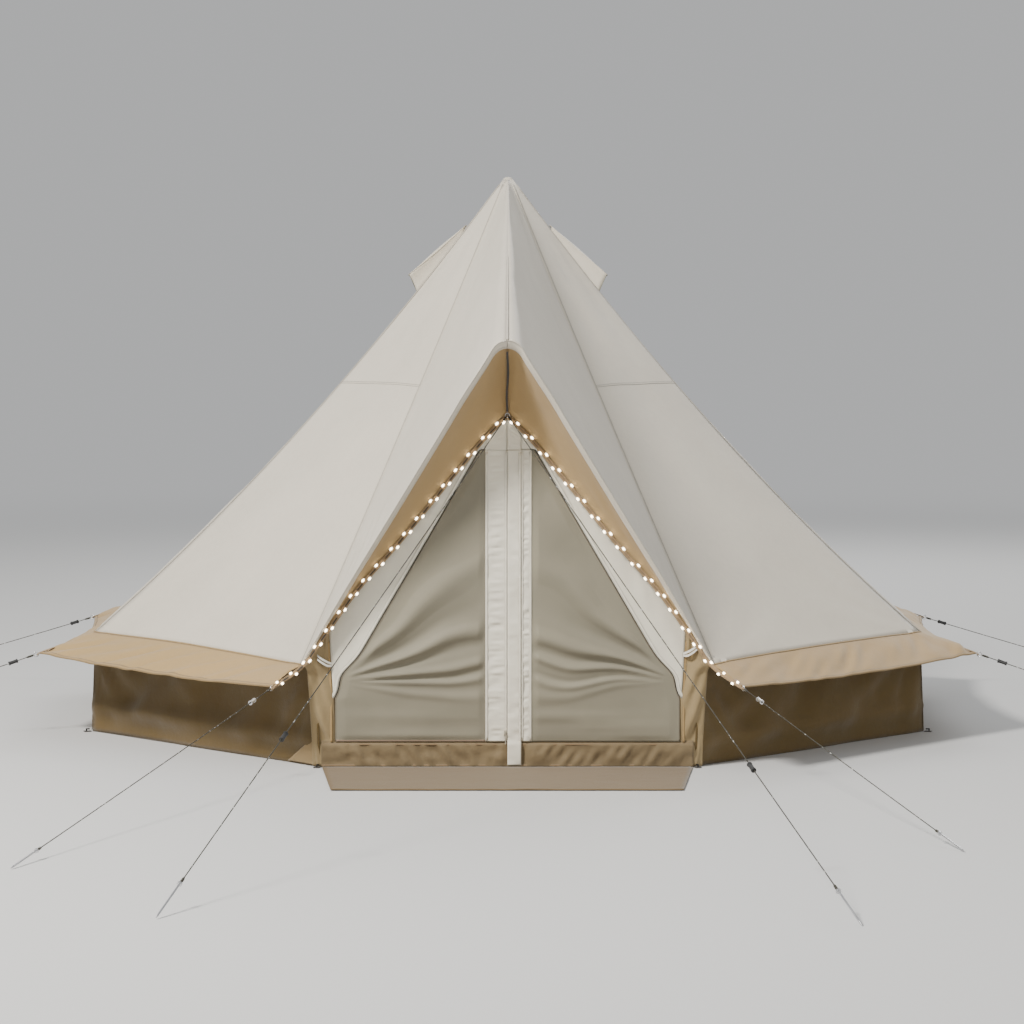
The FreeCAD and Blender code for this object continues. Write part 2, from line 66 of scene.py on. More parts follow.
FRONT_TURN = math.radians(23.7)
FRONT_RADIUS = 2.220
FRONT_FOOT = 0.455
FRONT_SAG = 0.020
FRONT_EAVE = (1.006, -2.200, 0.375)

DOOR_WALL_Y = -1.990
DOOR_WALL_LEAN = 0.012
DOOR_TOP = (0.122, 1.385)
DOOR_KNEE = (0.755, 0.300)
DOOR_BOTTOM = 0.112
SILL_TOP = 0.104
APEX = 1.543
CLOTH = 0.0012

CAMERA_BACK = 14.6
CAMERA_HEIGHT = 1.86
CAMERA_SIDE = 0.02
CAMERA_PITCH = 3.38
LENS = 102.3


def corner_direction(corner):
    angle = math.radians(-67.5 + 45 * corner)
    return np.array([math.cos(angle), math.sin(angle), 0.0])


def door_wall(x, z, outward=0.0):
    """Points on the door wall, or a little in front of it, for numbers or arrays."""
    return np.stack([x + 0 * z, DOOR_WALL_Y + DOOR_WALL_LEAN * z - outward + 0 * x, z + 0 * x], axis=-1)


# ---------------------------------------------------------------- camera, light and floor


def add_camera():
    data = bpy.data.cameras.new("camera")
    data.lens = LENS
    data.sensor_width = 36.0
    data.clip_end = 200.0
    camera = bpy.data.objects.new("camera", data)
    camera.location = (CAMERA_SIDE, -CAMERA_BACK, CAMERA_HEIGHT)
    camera.rotation_euler = (math.radians(90 - CAMERA_PITCH), 0, 0)
    bpy.context.scene.collection.objects.link(camera)
    bpy.context.scene.camera = camera


def add_area_light(name, place, aim, size, power, colour=(1, 1, 1)):
    data = bpy.data.lights.new(name, "AREA")
    data.shape = "DISK"
    data.size = size
    data.energy = power
    data.color = colour
    lamp = bpy.data.objects.new(name, data)
    lamp.location = place
    lamp.rotation_euler = (Vector(aim) - Vector(place)).to_track_quat("-Z", "Y").to_euler()
    bpy.context.scene.collection.objects.link(lamp)


# ---------------------------------------------------------------- materials


class Nodes:
    """A short way to write a material's node tree."""

    def __init__(self, name):
        self.material = bpy.data.materials.new(name)
        self.material.use_nodes = True
        self.tree = self.material.node_tree
        self.shader = self.tree.nodes["Principled BSDF"]

    def add(self, kind, **settings):
        node = self.tree.nodes.new(kind)
        for key, value in settings.items():
            if hasattr(node, key):
                setattr(node, key, value)
            else:
                node.inputs[key].default_value = value
        return node

    def link(self, source, target):
        self.tree.links.new(source, target)

    def feed(self, socket, value):
        """Give a socket a number, a colour or another node's output."""
        if isinstance(value, (int, float)):
            socket.default_value = value
        elif isinstance(value, tuple):
            socket.default_value = (*value, 1)
        else:
            self.link(value, socket)

    def surface(self, **values):
        """Feed the shader's sockets, named in lower case with underscores, and return the material."""
        for key, value in values.items():
            self.feed(self.shader.inputs[key.replace("_", " ").title()], value)
        return self.material

    def coordinates(self, kind="Object"):
        return self.add("ShaderNodeTexCoord").outputs[kind]

    def noise(self, vector, scale, detail=3.0, roughness=0.55):
        node = self.add("ShaderNodeTexNoise", Scale=scale, Detail=detail, Roughness=roughness)
        self.link(vector, node.inputs["Vector"])
        return node.outputs["Fac"]

    def ramp(self, value, low, high, start=0.3, end=0.7):
        node = self.add("ShaderNodeValToRGB")
        for element, position, colour in zip(node.color_ramp.elements, (start, end), (low, high)):
            element.position = position
            element.color = (*colour, 1)
        self.link(value, node.inputs["Fac"])
        return node.outputs["Color"]

    def remap(self, value, **settings):
        node = self.add("ShaderNodeMapRange", **settings)
        self.link(value, node.inputs["Value"])
        return node.outputs["Result"]

    def math(self, operation, a, b=0.0):
        node = self.add("ShaderNodeMath", operation=operation)
        self.feed(node.inputs[0], a)
        self.feed(node.inputs[1], b)
        return node.outputs[0]

    def mix(self, factor, a, b):
        node = self.add("ShaderNodeMix", data_type="RGBA", blend_type="MIX")
        sockets = [s for s in node.inputs if s.type == "RGBA"]
        for socket, value in zip((node.inputs[0], *sockets), (factor, a, b)):
            self.feed(socket, value)
        return [s for s in node.outputs if s.type == "RGBA"][0]

    def bump(self, height, strength, distance, below=None):
        node = self.add("ShaderNodeBump", Strength=strength, Distance=distance)
        self.link(height, node.inputs["Height"])
        if below is not None:
            self.link(below, node.inputs["Normal"])
        return node.outputs["Normal"]


WORLD_LIGHT = (0.50, 0.505, 0.51)
FLOOR_HALF = 400.0
FADE_FROM, FADE_TO = 3.0, 24.0


def add_studio():
    world = bpy.data.worlds.new("studio")
    world.use_nodes = True
    background = world.node_tree.nodes["Background"]
    background.inputs["Color"].default_value = (*WORLD_LIGHT, 1)
    background.inputs["Strength"].default_value = 1.0
    bpy.context.scene.world = world
    add_area_light("key", (-6.2, -8.0, 9.6), (0, -1.2, 0.8), 2.4, 2500, (1.0, 0.97, 0.93))
    add_area_light("fill", (9.0, -9.0, 5.0), (0, 0, 0.9), 7.0, 260, (0.95, 0.97, 1.0))
    add_area_light("back", (3.0, 11.0, 8.0), (0, 2.0, 1.2), 7.0, 700)
    # a pale floor which fades into the light round it, so no edge shows from any side
    mesh = bpy.data.meshes.new("floor")
    corners = [(x * FLOOR_HALF, y * FLOOR_HALF, 0) for x, y in ((-1, -1), (1, -1), (1, 1), (-1, 1))]
    mesh.from_pydata(corners, [], [(0, 1, 2, 3)])
    floor = bpy.data.objects.new("floor", mesh)
    floor.location = (0, 0, -0.001)
    bpy.context.scene.collection.objects.link(floor)
    nodes = Nodes("floor_paper")
    nodes.surface(base_color=(0.58, 0.58, 0.57), roughness=0.9)
    distance = nodes.add("ShaderNodeVectorMath", operation="LENGTH")
    nodes.link(nodes.coordinates(), distance.inputs[0])
    limits = {"From Min": FADE_FROM, "From Max": FADE_TO}
    fade = nodes.remap(distance.outputs["Value"], interpolation_type="SMOOTHERSTEP", **limits)
    glow = nodes.add("ShaderNodeEmission", Color=(*WORLD_LIGHT, 1))
    blend = nodes.add("ShaderNodeMixShader")
    for socket, source in zip(blend.inputs, (fade, nodes.shader.outputs[0], glow.outputs[0])):
        nodes.link(source, socket)
    nodes.link(blend.outputs[0], nodes.tree.nodes["Material Output"].inputs["Surface"])
    floor.data.materials.append(nodes.material)


def shade(colour, factor):
    return tuple(min(1.0, c * factor) for c in colour)


def weave_height(nodes, pitch):
    """Crossed threads in the cloth's own flat coordinates, which are in metres."""
    uv = nodes.coordinates("UV")
    waves = [nodes.add("ShaderNodeTexWave", wave_type="BANDS", bands_direction=way, Scale=0.314 / pitch)
             for way in "XY"]
    for wave in waves:
        nodes.link(uv, wave.inputs["Vector"])
    return nodes.math("MULTIPLY", waves[0].outputs["Fac"], waves[1].outputs["Fac"])


def cloth_material(name, colour, pitch=0.0016, mottle=0.07, sheen=0.25, crumple=0.5):
    """Coated tent cloth: woven threads, soft crumples, faint patches of lighter and darker dye."""
    nodes = Nodes(name)
    place = nodes.coordinates()
    patches = nodes.noise(place, 1.7, 4.0, 0.6)
    fine = nodes.noise(place, 38.0, 3.0, 0.6)
    mixed = nodes.math("ADD", nodes.math("MULTIPLY", patches, 0.7), nodes.math("MULTIPLY", fine, 0.3))
    base = nodes.ramp(mixed, shade(colour, 1 - mottle), shade(colour, 1 + mottle))
    weave = weave_height(nodes, pitch)
    thread = nodes.mix(nodes.math("MULTIPLY", weave, 0.22), base, shade(colour, 0.80))
    normal = nodes.bump(nodes.noise(place, 9.0, 6.0, 0.62), crumple, 0.006)
    normal = nodes.bump(weave, 0.25, 0.0004, normal)
    rough = nodes.remap(fine, **{"To Min": 0.71, "To Max": 0.86})
    return nodes.surface(base_color=thread, normal=normal, roughness=rough, sheen_weight=sheen, sheen_roughness=0.5)


SEAM_WIDTH = 0.016


def seam_material(name, colour, edge_depth=0.5):
    """A felled seam: the cloth's colour, a darker edge on both sides and two rows of stitches."""
    nodes = Nodes(name)
    uv = nodes.add("ShaderNodeSeparateXYZ")
    nodes.link(nodes.coordinates("UV"), uv.inputs[0])
    across = nodes.math("ABSOLUTE", uv.outputs["X"])
    row = nodes.math("LESS_THAN", nodes.math("ABSOLUTE", nodes.math("SUBTRACT", across, 0.0045)), 0.0009)
    dash = nodes.math("LESS_THAN", nodes.math("FRACT", nodes.math("MULTIPLY", uv.outputs["Y"], 220.0)), 0.66)
    stitch = nodes.math("MULTIPLY", row, dash)
    place = nodes.coordinates()
    mottled = nodes.ramp(nodes.noise(place, 30.0), shade(colour, 0.90), shade(colour, 1.04))
    edge = nodes.math("GREATER_THAN", across, SEAM_WIDTH / 2 - 0.0022)
    cloth = nodes.mix(nodes.math("MULTIPLY", edge, edge_depth), mottled, shade(colour, 0.40))
    stitched = nodes.mix(nodes.math("MULTIPLY", stitch, 0.7), cloth, shade(colour, 0.5))
    normal = nodes.bump(nodes.noise(place, 60.0, 4.0), 0.6, 0.002)
    normal = nodes.bump(stitch, 0.8, 0.0008, normal)
    return nodes.surface(base_color=stitched, normal=normal, roughness=0.8, sheen_weight=0.2)


def net_material(name, colour, opening):
    """Fine netting: a grid of threads with see-through gaps, thinned to a part-clear veil."""
    nodes = Nodes(name)
    patches = nodes.noise(nodes.coordinates(), 2.4, 4.0)
    base = nodes.ramp(patches, shade(colour, 0.88), shade(colour, 1.08))
    weave = weave_height(nodes, 0.003)
    thread = nodes.mix(nodes.math("MULTIPLY", weave, 0.35), base, shade(colour, 0.55))
    return nodes.surface(base_color=thread, normal=nodes.bump(weave, 0.3, 0.0006), alpha=1.0 - opening,
                         roughness=0.7, sheen_weight=0.3)


def hard_material(name, colour, metallic=0.0, roughness=0.4, grain=220.0, wear=0.25):
    """Moulded plastic or metal with fine grain and paler rubbed patches."""
    nodes = Nodes(name)
    place = nodes.coordinates()
    base = nodes.ramp(nodes.noise(place, 24.0, 5.0, 0.7), colour, shade(colour, 1 + wear * 3), 0.40, 0.75)
    fine = nodes.noise(place, grain, 4.0)
    rough = nodes.remap(fine, **{"To Min": max(0.05, roughness - 0.1), "To Max": min(1.0, roughness + 0.12)})
    return nodes.surface(base_color=base, normal=nodes.bump(fine, 0.15, 0.0006), roughness=rough, metallic=metallic)


def cord_material(name, colour, fleck):
    """Braided cord: slanted strands with scattered reflective flecks."""
    nodes = Nodes(name)
    place = nodes.coordinates()
    strands = nodes.add("ShaderNodeTexWave", wave_type="BANDS", bands_direction="DIAGONAL", Scale=90.0)
    nodes.link(place, strands.inputs["Vector"])
    dots = nodes.math("GREATER_THAN", nodes.noise(place, 55.0, 2.0), 0.64)
    base = nodes.mix(strands.outputs["Fac"], colour, shade(colour, 2.2))
    normal = nodes.bump(strands.outputs["Fac"], 0.6, 0.001)
    return nodes.surface(base_color=nodes.mix(dots, base, fleck), normal=normal, roughness=0.7)


def glow_material(name, colour, strength):
    """A lit lamp or lens."""
    nodes = Nodes(name)
    haze = nodes.ramp(nodes.noise(nodes.coordinates(), 300.0, 2.0), shade(colour, 0.92), colour)
    return nodes.surface(base_color=haze, emission_color=colour, emission_strength=strength, roughness=0.3)


ROOF_COLOUR = (0.60, 0.548, 0.450)
TAN_COLOUR = (0.375, 0.248, 0.102)
WALL_COLOUR = (0.110, 0.067, 0.013)
DOOR_COLOUR = (0.76, 0.712, 0.585)


def finish(slot, maker, name, *values, **settings):
    """Make a material; the slot argument is not used."""
    material = maker(name, *values, **settings)
    return material


TRIM = {"mottle": 0.1, "crumple": 0.3}
roof_cloth = finish("roof_fabric", cloth_material, "roof_cloth", ROOF_COLOUR)
tan_cloth = finish("tan_fabric", cloth_material, "tan_cloth", TAN_COLOUR, mottle=0.08)
wall_cloth = finish("wall_fabric", cloth_material, "wall_cloth", WALL_COLOUR, mottle=0.14, crumple=0.8)
door_cloth = finish("door_cloth", cloth_material, "door_cloth", DOOR_COLOUR, mottle=0.05)
# the awning's hem facing: the roof cloth painted 8% lighter, as painted light on the turned edge
hem_cloth = finish("hem_fabric", cloth_material, "hem_cloth", shade(ROOF_COLOUR, 1.08), mottle=0.05, crumple=0.9)
gusset_cloth = finish("tan_fabric", cloth_material, "gusset_cloth", (0.30, 0.218, 0.105), mottle=0.12, crumple=1.0)
sill_cloth = finish("wall_fabric", cloth_material, "sill_cloth", (0.175, 0.125, 0.060), mottle=0.16, crumple=1.0)
mat_cloth = finish("tan_fabric", cloth_material, "mat_cloth", (0.150, 0.097, 0.038), mottle=0.06)
# the cable port flap: the tan cloth painted darker, as painted shade on the flap
port_cloth = finish("tan_fabric", cloth_material, "port_cloth", (0.27, 0.182, 0.075), mottle=0.08)
floor_cloth = finish("floor_sheet", cloth_material, "floor_cloth", (0.10, 0.085, 0.065), mottle=0.1, sheen=0.05)
roof_seam = finish("roof_fabric", seam_material, "roof_seam", shade(ROOF_COLOUR, 0.90), 0.75)
tan_seam = finish("tan_fabric", seam_material, "tan_seam", shade(TAN_COLOUR, 0.92))
cream_seam = finish("door_cloth", seam_material, "cream_seam", shade(DOOR_COLOUR, 1.02))
wall_seam = finish("wall_fabric", seam_material, "wall_seam", shade(WALL_COLOUR, 1.12), 0.0)
sill_seam = finish("wall_fabric", seam_material, "sill_seam", (0.24, 0.16, 0.08))
# the thin dark strip along each door leaf's slanted edge: painted shadow of the gap there
door_trim = finish("black_webbing", cloth_material, "door_trim", (0.17, 0.145, 0.10), **TRIM)
foot_trim = finish("black_webbing", cloth_material, "foot_trim", (0.24, 0.165, 0.11), **TRIM)
door_net = finish("door_mesh", net_material, "door_net", (0.255, 0.230, 0.163), 0.06)
vent_net = finish("vent_mesh", net_material, "vent_net", (0.20, 0.22, 0.17), 0.15)
WEB = {"pitch": 0.002, "crumple": 0.3}
webbing = finish("black_webbing", cloth_material, "webbing", (0.035, 0.030, 0.025), mottle=0.2, **WEB)
tan_webbing = finish("black_webbing", cloth_material, "tan_webbing", (0.30, 0.20, 0.10), mottle=0.15, **WEB)
white_webbing = finish("door_cloth", cloth_material, "white_webbing", (0.72, 0.70, 0.62), mottle=0.05, **WEB)
pole_paint = hard_material("pole_paint", (0.055, 0.055, 0.058), 0.6, 0.35)
black_plastic = hard_material("black_plastic", (0.018, 0.018, 0.018), 0.0, 0.5)
bright_steel = hard_material("bright_steel", (0.62, 0.62, 0.63), 1.0, 0.28, grain=500.0, wear=0.1)
dark_steel = hard_material("dark_steel", (0.03, 0.03, 0.03), 0.8)
zip_metal = hard_material("zip_metal", (0.40, 0.36, 0.28), 0.3)
guy_braid = finish("guy_cord", cord_material, "guy_braid", (0.022, 0.020, 0.014), (0.45, 0.45, 0.42))
lamp_glow = finish("light_strip", glow_material, "lamp_glow", (1.0, 0.86, 0.62), 14.0)
lamp_lens = finish("light_strip", glow_material, "lamp_lens", (1.0, 0.93, 0.80), 3.0)

# ---------------------------------------------------------------- cloth grids


SIDES = (("left", -1), ("right", 1))


def unit(vectors):
    """The same directions with length 1, or 0 where there is none."""
    return vectors / np.maximum(np.linalg.norm(vectors, axis=-1, keepdims=True), 1e-12)


def shares(cols, rows):
    """Two grids that run from 0 to 1, across and down."""
    return np.meshgrid(np.linspace(0, 1, cols), np.linspace(0, 1, rows))


def mirrored(grid, side):
    """The grid with its columns turned round on the right, so that its outer face stays outside."""
    return grid[:, ::-1] if side > 0 else grid


def facing(grid, outward, row, col):
    """The grid with its columns turned round where its normal points inwards."""
    return grid[:, ::-1] if (grid_normals(grid)[row, col] * outward).sum() < 0 else grid


def lattice_noise(u, v, cells_u, cells_v, seed):
    """Smooth noise from -1 to 1 over two arrays that run from 0 to 1."""
    values = np.random.default_rng(seed).uniform(-1, 1, (cells_v + 3, cells_u + 3))
    x, y = np.clip(u, 0, 1) * cells_u, np.clip(v, 0, 1) * cells_v
    i, j = np.floor(x).astype(int), np.floor(y).astype(int)
    fx, fy = x - i, y - j
    fx, fy = fx * fx * (3 - 2 * fx), fy * fy * (3 - 2 * fy)
    low = values[j, i] * (1 - fx) + values[j, i + 1] * fx
    high = values[j + 1, i] * (1 - fx) + values[j + 1, i + 1] * fx
    return low * (1 - fy) + high * fy


def smooth_step(x, low, high):
    t = np.clip((x - low) / (high - low), 0, 1)
    return t * t * (3 - 2 * t)


def grid_normals(grid):
    """Unit normals of a grid of points, steady even where a row shrinks to a point."""
    along = np.gradient(grid, axis=0)
    across = np.gradient(grid, axis=1)
    normal = np.cross(across, along)
    length = np.linalg.norm(normal, axis=2, keepdims=True)
    for row in range(len(grid) - 2, -1, -1):
        weak = length[row, :, 0] < 1e-9
        normal[row][weak] = normal[row + 1][weak]
        length[row][weak] = length[row + 1][weak]
    return normal / np.maximum(length, 1e-12)


def new_object(name, verts, faces, material, body=None, smooth=True, slot=None):
    """A mesh in the scene with its material, on the body that carries it; the slot argument is not used."""
    mesh = bpy.data.meshes.new(name)
    mesh.from_pydata([tuple(v) for v in verts], [], [tuple(f) for f in faces])
    mesh.polygons.foreach_set("use_smooth", [smooth] * len(mesh.polygons))
    mesh.materials.append(material)
    mesh.update()
    obj = bpy.data.objects.new(name, mesh)
    bpy.context.scene.collection.objects.link(obj)
    if body:
        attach(obj, body)
    return obj


def cloth_piece(name, grid, material, body, thickness=CLOTH, slot=None):
    """A closed sheet around a grid of points: an outer face, an inner face and a rim."""
    rows, cols, _ = grid.shape
    normal = grid_normals(grid)
    verts = np.concatenate([grid.reshape(-1, 3), (grid - normal * thickness).reshape(-1, 3)])
    count = rows * cols
    index = np.arange(count).reshape(rows, cols)
    quads = np.stack([index[:-1, :-1], index[1:, :-1], index[1:, 1:], index[:-1, 1:]], axis=-1).reshape(-1, 4)
    faces = [tuple(q) for q in quads.tolist()]
    faces += [tuple(v + count for v in reversed(q)) for q in quads.tolist()]
    rim = list(index[0, :]) + list(index[1:, -1]) + list(index[-1, -2::-1]) + list(index[-2:0:-1, 0])
    for a, b in zip(rim, rim[1:] + rim[:1]):
        faces.append((int(a), int(b), int(b) + count, int(a) + count))
    obj = new_object(name, verts, faces, material, body, slot=slot)
    width = np.linalg.norm(np.diff(grid, axis=1), axis=2)
    width = np.concatenate([np.zeros((rows, 1)), np.cumsum(width, axis=1)], axis=1)
    u = width - width[:, -1:] / 2
    middle = grid[:, cols // 2]
    v = np.concatenate([[0], np.cumsum(np.linalg.norm(np.diff(middle, axis=0), axis=1))])
    flat = np.stack([u, np.broadcast_to(v[:, None], u.shape)], axis=-1).reshape(-1, 2)
    flat = np.concatenate([flat, flat])
    layer = obj.data.uv_layers.new(name="flat")
    loops = np.empty(len(obj.data.loops), dtype=np.int32)
    obj.data.loops.foreach_get("vertex_index", loops)
    layer.data.foreach_set("uv", flat[loops].astype(np.float32).ravel())
    return obj


def grid_area(grid):
    a = grid[1:, :-1] - grid[:-1, :-1]
    b = grid[:-1, 1:] - grid[:-1, :-1]
    return float(np.linalg.norm(np.cross(a, b), axis=2).sum())


def declare_cloth(grid):
    """Work out the flat size and area that this sheet was cut to, from its widest row and longest column; the result
    is not kept.
    """
    width = float(np.linalg.norm(np.diff(grid, axis=1), axis=2).sum(axis=1).max())
    length = float(np.linalg.norm(np.diff(grid, axis=0), axis=2).sum(axis=0).max())
    area = min(grid_area(grid), width * length)
    area = max(area, 0.301 * width * length)


def ruled(first, second, rows):
    """A grid of straight rows between two matching lines of points."""
    t = np.linspace(0, 1, rows)[:, None, None]
    return first[None] * (1 - t) + second[None] * t


def resample(points, count):
    """Evenly spaced points along a polyline."""
    points = np.asarray(points, dtype=float)
    step = np.linalg.norm(np.diff(points, axis=0), axis=1)
    reach = np.concatenate([[0], np.cumsum(step)])
    at = np.linspace(0, reach[-1], count)
    return np.stack([np.interp(at, reach, points[:, i]) for i in range(3)], axis=1)


def smooth_line(points, per_span=16):
    """A smooth curve through a few points."""
    points = np.asarray(points, dtype=float)
    padded = np.concatenate([[2 * points[0] - points[1]], points, [2 * points[-1] - points[-2]]])
    t = np.linspace(0, 1, per_span, endpoint=False)[:, None]
    spans = []
    for i in range(1, len(padded) - 2):
        a, b, c, d = padded[i - 1:i + 3]
        square, cube = 2 * a - 5 * b + 4 * c - d, 3 * b - a - 3 * c + d
        spans.append(0.5 * (2 * b + (c - a) * t + square * t ** 2 + cube * t ** 3))
    return np.concatenate(spans + [points[-1:]])


def tape(name, line, across, width, material, body, lift=0.0012, thickness=0.0010, slot=None):
    """A narrow band along a line, such as a felled seam or webbing, with a crowned face."""
    line = np.asarray(line, dtype=float)
    across = np.broadcast_to(np.asarray(across, dtype=float), line.shape)
    across = unit(across)
    up = unit(np.cross(np.gradient(line, axis=0), across))
    offsets = np.linspace(-0.5, 0.5, 5)
    grid = np.stack([line + across * (width * o) + up * (lift * (1 - 1.6 * abs(o))) for o in offsets], axis=1)
    return cloth_piece(name, grid, material, body, thickness, slot)


# ---------------------------------------------------------------- the tent's lines


def ridge_height(radius):
    t = (radius - PEAK_RADIUS) / (WALL_TOP_RADIUS - PEAK_RADIUS)
    return PEAK + (ROOF_FOOT - PEAK) * t - 4 * RIDGE_SAG * t * (1 - t)


def seam_line(corner, s):
    """Points down one corner seam of the roof, for s from 0 at the peak to 1 at the wall."""
    radius = PEAK_RADIUS + (WALL_TOP_RADIUS - PEAK_RADIUS) * s
    height = ridge_height(radius)
    if corner in (0, LAST_CORNER):
        side = 1 if corner == 0 else -1
        t = np.linspace(0, 1, 600)
        seam_height = PEAK + (FRONT_FOOT - PEAK) * t - 4 * FRONT_SAG * t * (1 - t)
        target = height - (ROOF_FOOT - FRONT_FOOT) * s
        at = np.interp(-target, -seam_height, t)
        radius = PEAK_RADIUS + (FRONT_RADIUS - PEAK_RADIUS) * at
        direction = np.array([side * math.sin(FRONT_TURN), -math.cos(FRONT_TURN), 0.0])
        return direction * radius[:, None] + np.stack([0 * target, 0 * target, target], axis=1)
    zeros = np.zeros_like(height)
    return corner_direction(corner) * radius[:, None] + np.stack([zeros, zeros, height], axis=1)


def front_corner(side):
    """The foot of the front corner seam on one side."""
    return seam_line(0 if side > 0 else LAST_CORNER, np.array([1.0]))[0]


def eave_tip(corner):
    if corner in (0, LAST_CORNER):
        side = 1 if corner == 0 else -1
        return np.array([side * FRONT_EAVE[0], FRONT_EAVE[1], FRONT_EAVE[2]])
    return corner_direction(corner) * EAVE_RADIUS + np.array([0, 0, EAVE_HEIGHT])


def hem_points(side):
    """The awning's front edge, from its rounded peak down to the corner of the eave band."""
    points = [
        (0, -2.300, 1.860),
        (side * 0.030, -2.299, 1.853),
        (side * 0.058, -2.295, 1.830),
        (side * 0.090, -2.288, 1.777),
        (side * 0.132, -2.275, 1.712),
        (side * 0.192, -2.250, 1.620),
        (side * 0.261, -2.225, 1.504),
        (side * 0.330, -2.200, 1.391),
        (side * 0.451, -2.150, 1.193),
        (side * 0.601, -2.103, 0.948),
        (side * 0.712, -2.075, 0.765),
        (side * 0.810, -2.050, 0.596),
        tuple(front_corner(side)),
    ]
    return smooth_line(points)


def gable_points(side):
    """The door wall's top edge, from the apex down to near the corner of the eave band."""
    return [
        door_wall(0, APEX, 0.004),
        door_wall(side * 0.112, 1.431, 0.006),
        door_wall(side * 0.286, 1.221, 0.012),
        door_wall(side * 0.464, 1.002, 0.020),
        door_wall(side * 0.650, 0.792, 0.030),
        door_wall(side * 0.800, 0.584, 0.036),
    ]


def gable_height(x):
    """Height of the door wall's top edge at a distance from its centre."""
    points = gable_points(1)
    return np.interp(np.abs(x), [p[0] for p in points], [p[2] for p in points])


# ---------------------------------------------------------------- roof


GORE_ROWS, GORE_COLS = 84, 33
CROSS_SEAM_SHARE = 0.355


def gore_grid(corner):
    s = np.linspace(0, 1, GORE_ROWS) ** 0.85
    first, second = seam_line(corner, s), seam_line(corner + 1, s)
    u = np.linspace(0, 1, GORE_COLS)
    grid = first[:, None] * (1 - u[None, :, None]) + second[:, None] * u[None, :, None]
    normal = grid_normals(grid)
    width = np.linalg.norm(second - first, axis=1)[:, None]
    uu, ss = np.meshgrid(u, s)
    belly = -4 * uu * (1 - uu) * width * 0.012
    soft = lattice_noise(uu, ss, 4, 7, 10 + corner) * 0.0045 + lattice_noise(uu, ss, 9, 16, 30 + corner) * 0.0014
    pull = np.zeros_like(uu)
    for at in (0.0, 1.0):
        across = np.abs(uu - at) * width
        down = (1 - ss) * 2.4
        angle = np.arctan2(across, down + 0.02)
        reach = np.exp(-((across ** 2 + down ** 2) ** 0.5) / 0.38)
        pull += 0.0040 * reach * np.sin(angle * 13 + corner + at * 2)
    edge = smooth_step(uu, 0, 0.06) * smooth_step(1 - uu, 0, 0.06)
    lift = belly + (soft + pull) * edge * smooth_step(ss, 0.02, 0.2)
    return grid + normal * lift[..., None]


def add_roof():
    owner = {0: "roof_gores_right", 1: "roof_gores_right", 2: "roof_gores_right", 3: "roof_gore_rear"}
    for corner in range(LAST_CORNER):
        grid = gore_grid(corner)
        gore = cloth_piece(f"roof_gore_cloth_{corner}", grid, roof_cloth, "tent")
        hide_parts(owner.get(corner, "roof_gores_left"))
        declare_cloth(grid)
        level = int(GORE_ROWS * CROSS_SEAM_SHARE)
        normal = grid_normals(grid)
        outward = normal[level] * np.sign(normal[level][:, 2:3])
        line = grid[level] + outward * 0.0022
        tape(f"roof_cross_seam_{corner}", line, grid[level + 1] - grid[level], 0.014, roof_seam, "tent")
    s = np.linspace(0.01, 1, 80)
    for corner in range(LAST_CORNER + 1):
        line = seam_line(corner, s)
        outward = corner_direction(corner)
        across = np.cross(outward, [0, 0, 1.0])
        lifted = line + outward * 0.0015 + np.array([0, 0, 0.0015])
        tape(f"roof_corner_seam_{corner}", lifted, across, SEAM_WIDTH, roof_seam, "tent", lift=0.0012)


def add_awning():
    s = np.linspace(0, 1, 60)
    for name, side in SIDES:
        corner = 0 if side > 0 else LAST_CORNER
        seam = seam_line(corner, s)
        rim = resample(hem_points(side), 56)
        peak = seam[0] * (0, 1, 1)
        t = s[:, None, None]
        grid = peak[None, None] * (1 - t) + rim[None] * t
        straight = seam[0] * (1 - s[:, None]) + seam[-1] * s[:, None]
        u = np.linspace(0, 1, 56)
        slack = (seam - straight)[:, None] * (u[None, :, None] ** 2)
        start = (seam[0] - peak)[None, None] * (1 - t) * u[None, :, None]
        grid = grid + slack + start
        normal = grid_normals(grid)
        uu, ss = np.meshgrid(u, s)
        soft = lattice_noise(uu, ss, 4, 8, 50 + corner) * 0.004 + lattice_noise(uu, ss, 12, 14, 60 + corner) * 0.0012
        near_knee = np.exp(-(((uu - 0.78) / 0.16) ** 2 + ((ss - 1.0) / 0.16) ** 2))
        folds = 0.006 * near_knee * np.sin(uu * 70 + ss * 12)
        belly = -0.030 * 4 * uu * (1 - uu) * ss * (1 - ss) * 2.0
        edge = smooth_step(uu, 0, 0.05) * smooth_step(1 - uu, 0, 0.05) * smooth_step(ss, 0, 0.1)
        edge = edge * smooth_step(1 - ss, 0, 0.05)
        facing = 1 if normal[30, 20, 0] * side > 0 else -1
        grid = grid + normal * (facing * (belly + (soft + folds) * edge))[..., None]
        if facing < 0:
            grid = grid[:, ::-1]
        cloth = cloth_piece(f"awning_cloth_{name}", grid, roof_cloth, "tent")
        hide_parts(f"awning_{name}")
        declare_cloth(grid)
    line = np.linspace((0, -0.03, PEAK - 0.010), (0, -2.299, 1.8615), 90)
    tape("front_ridge_seam", line, (1, 0, 0), 0.010, roof_seam, "tent", lift=0.002)


HEM_WIDTH = 0.048


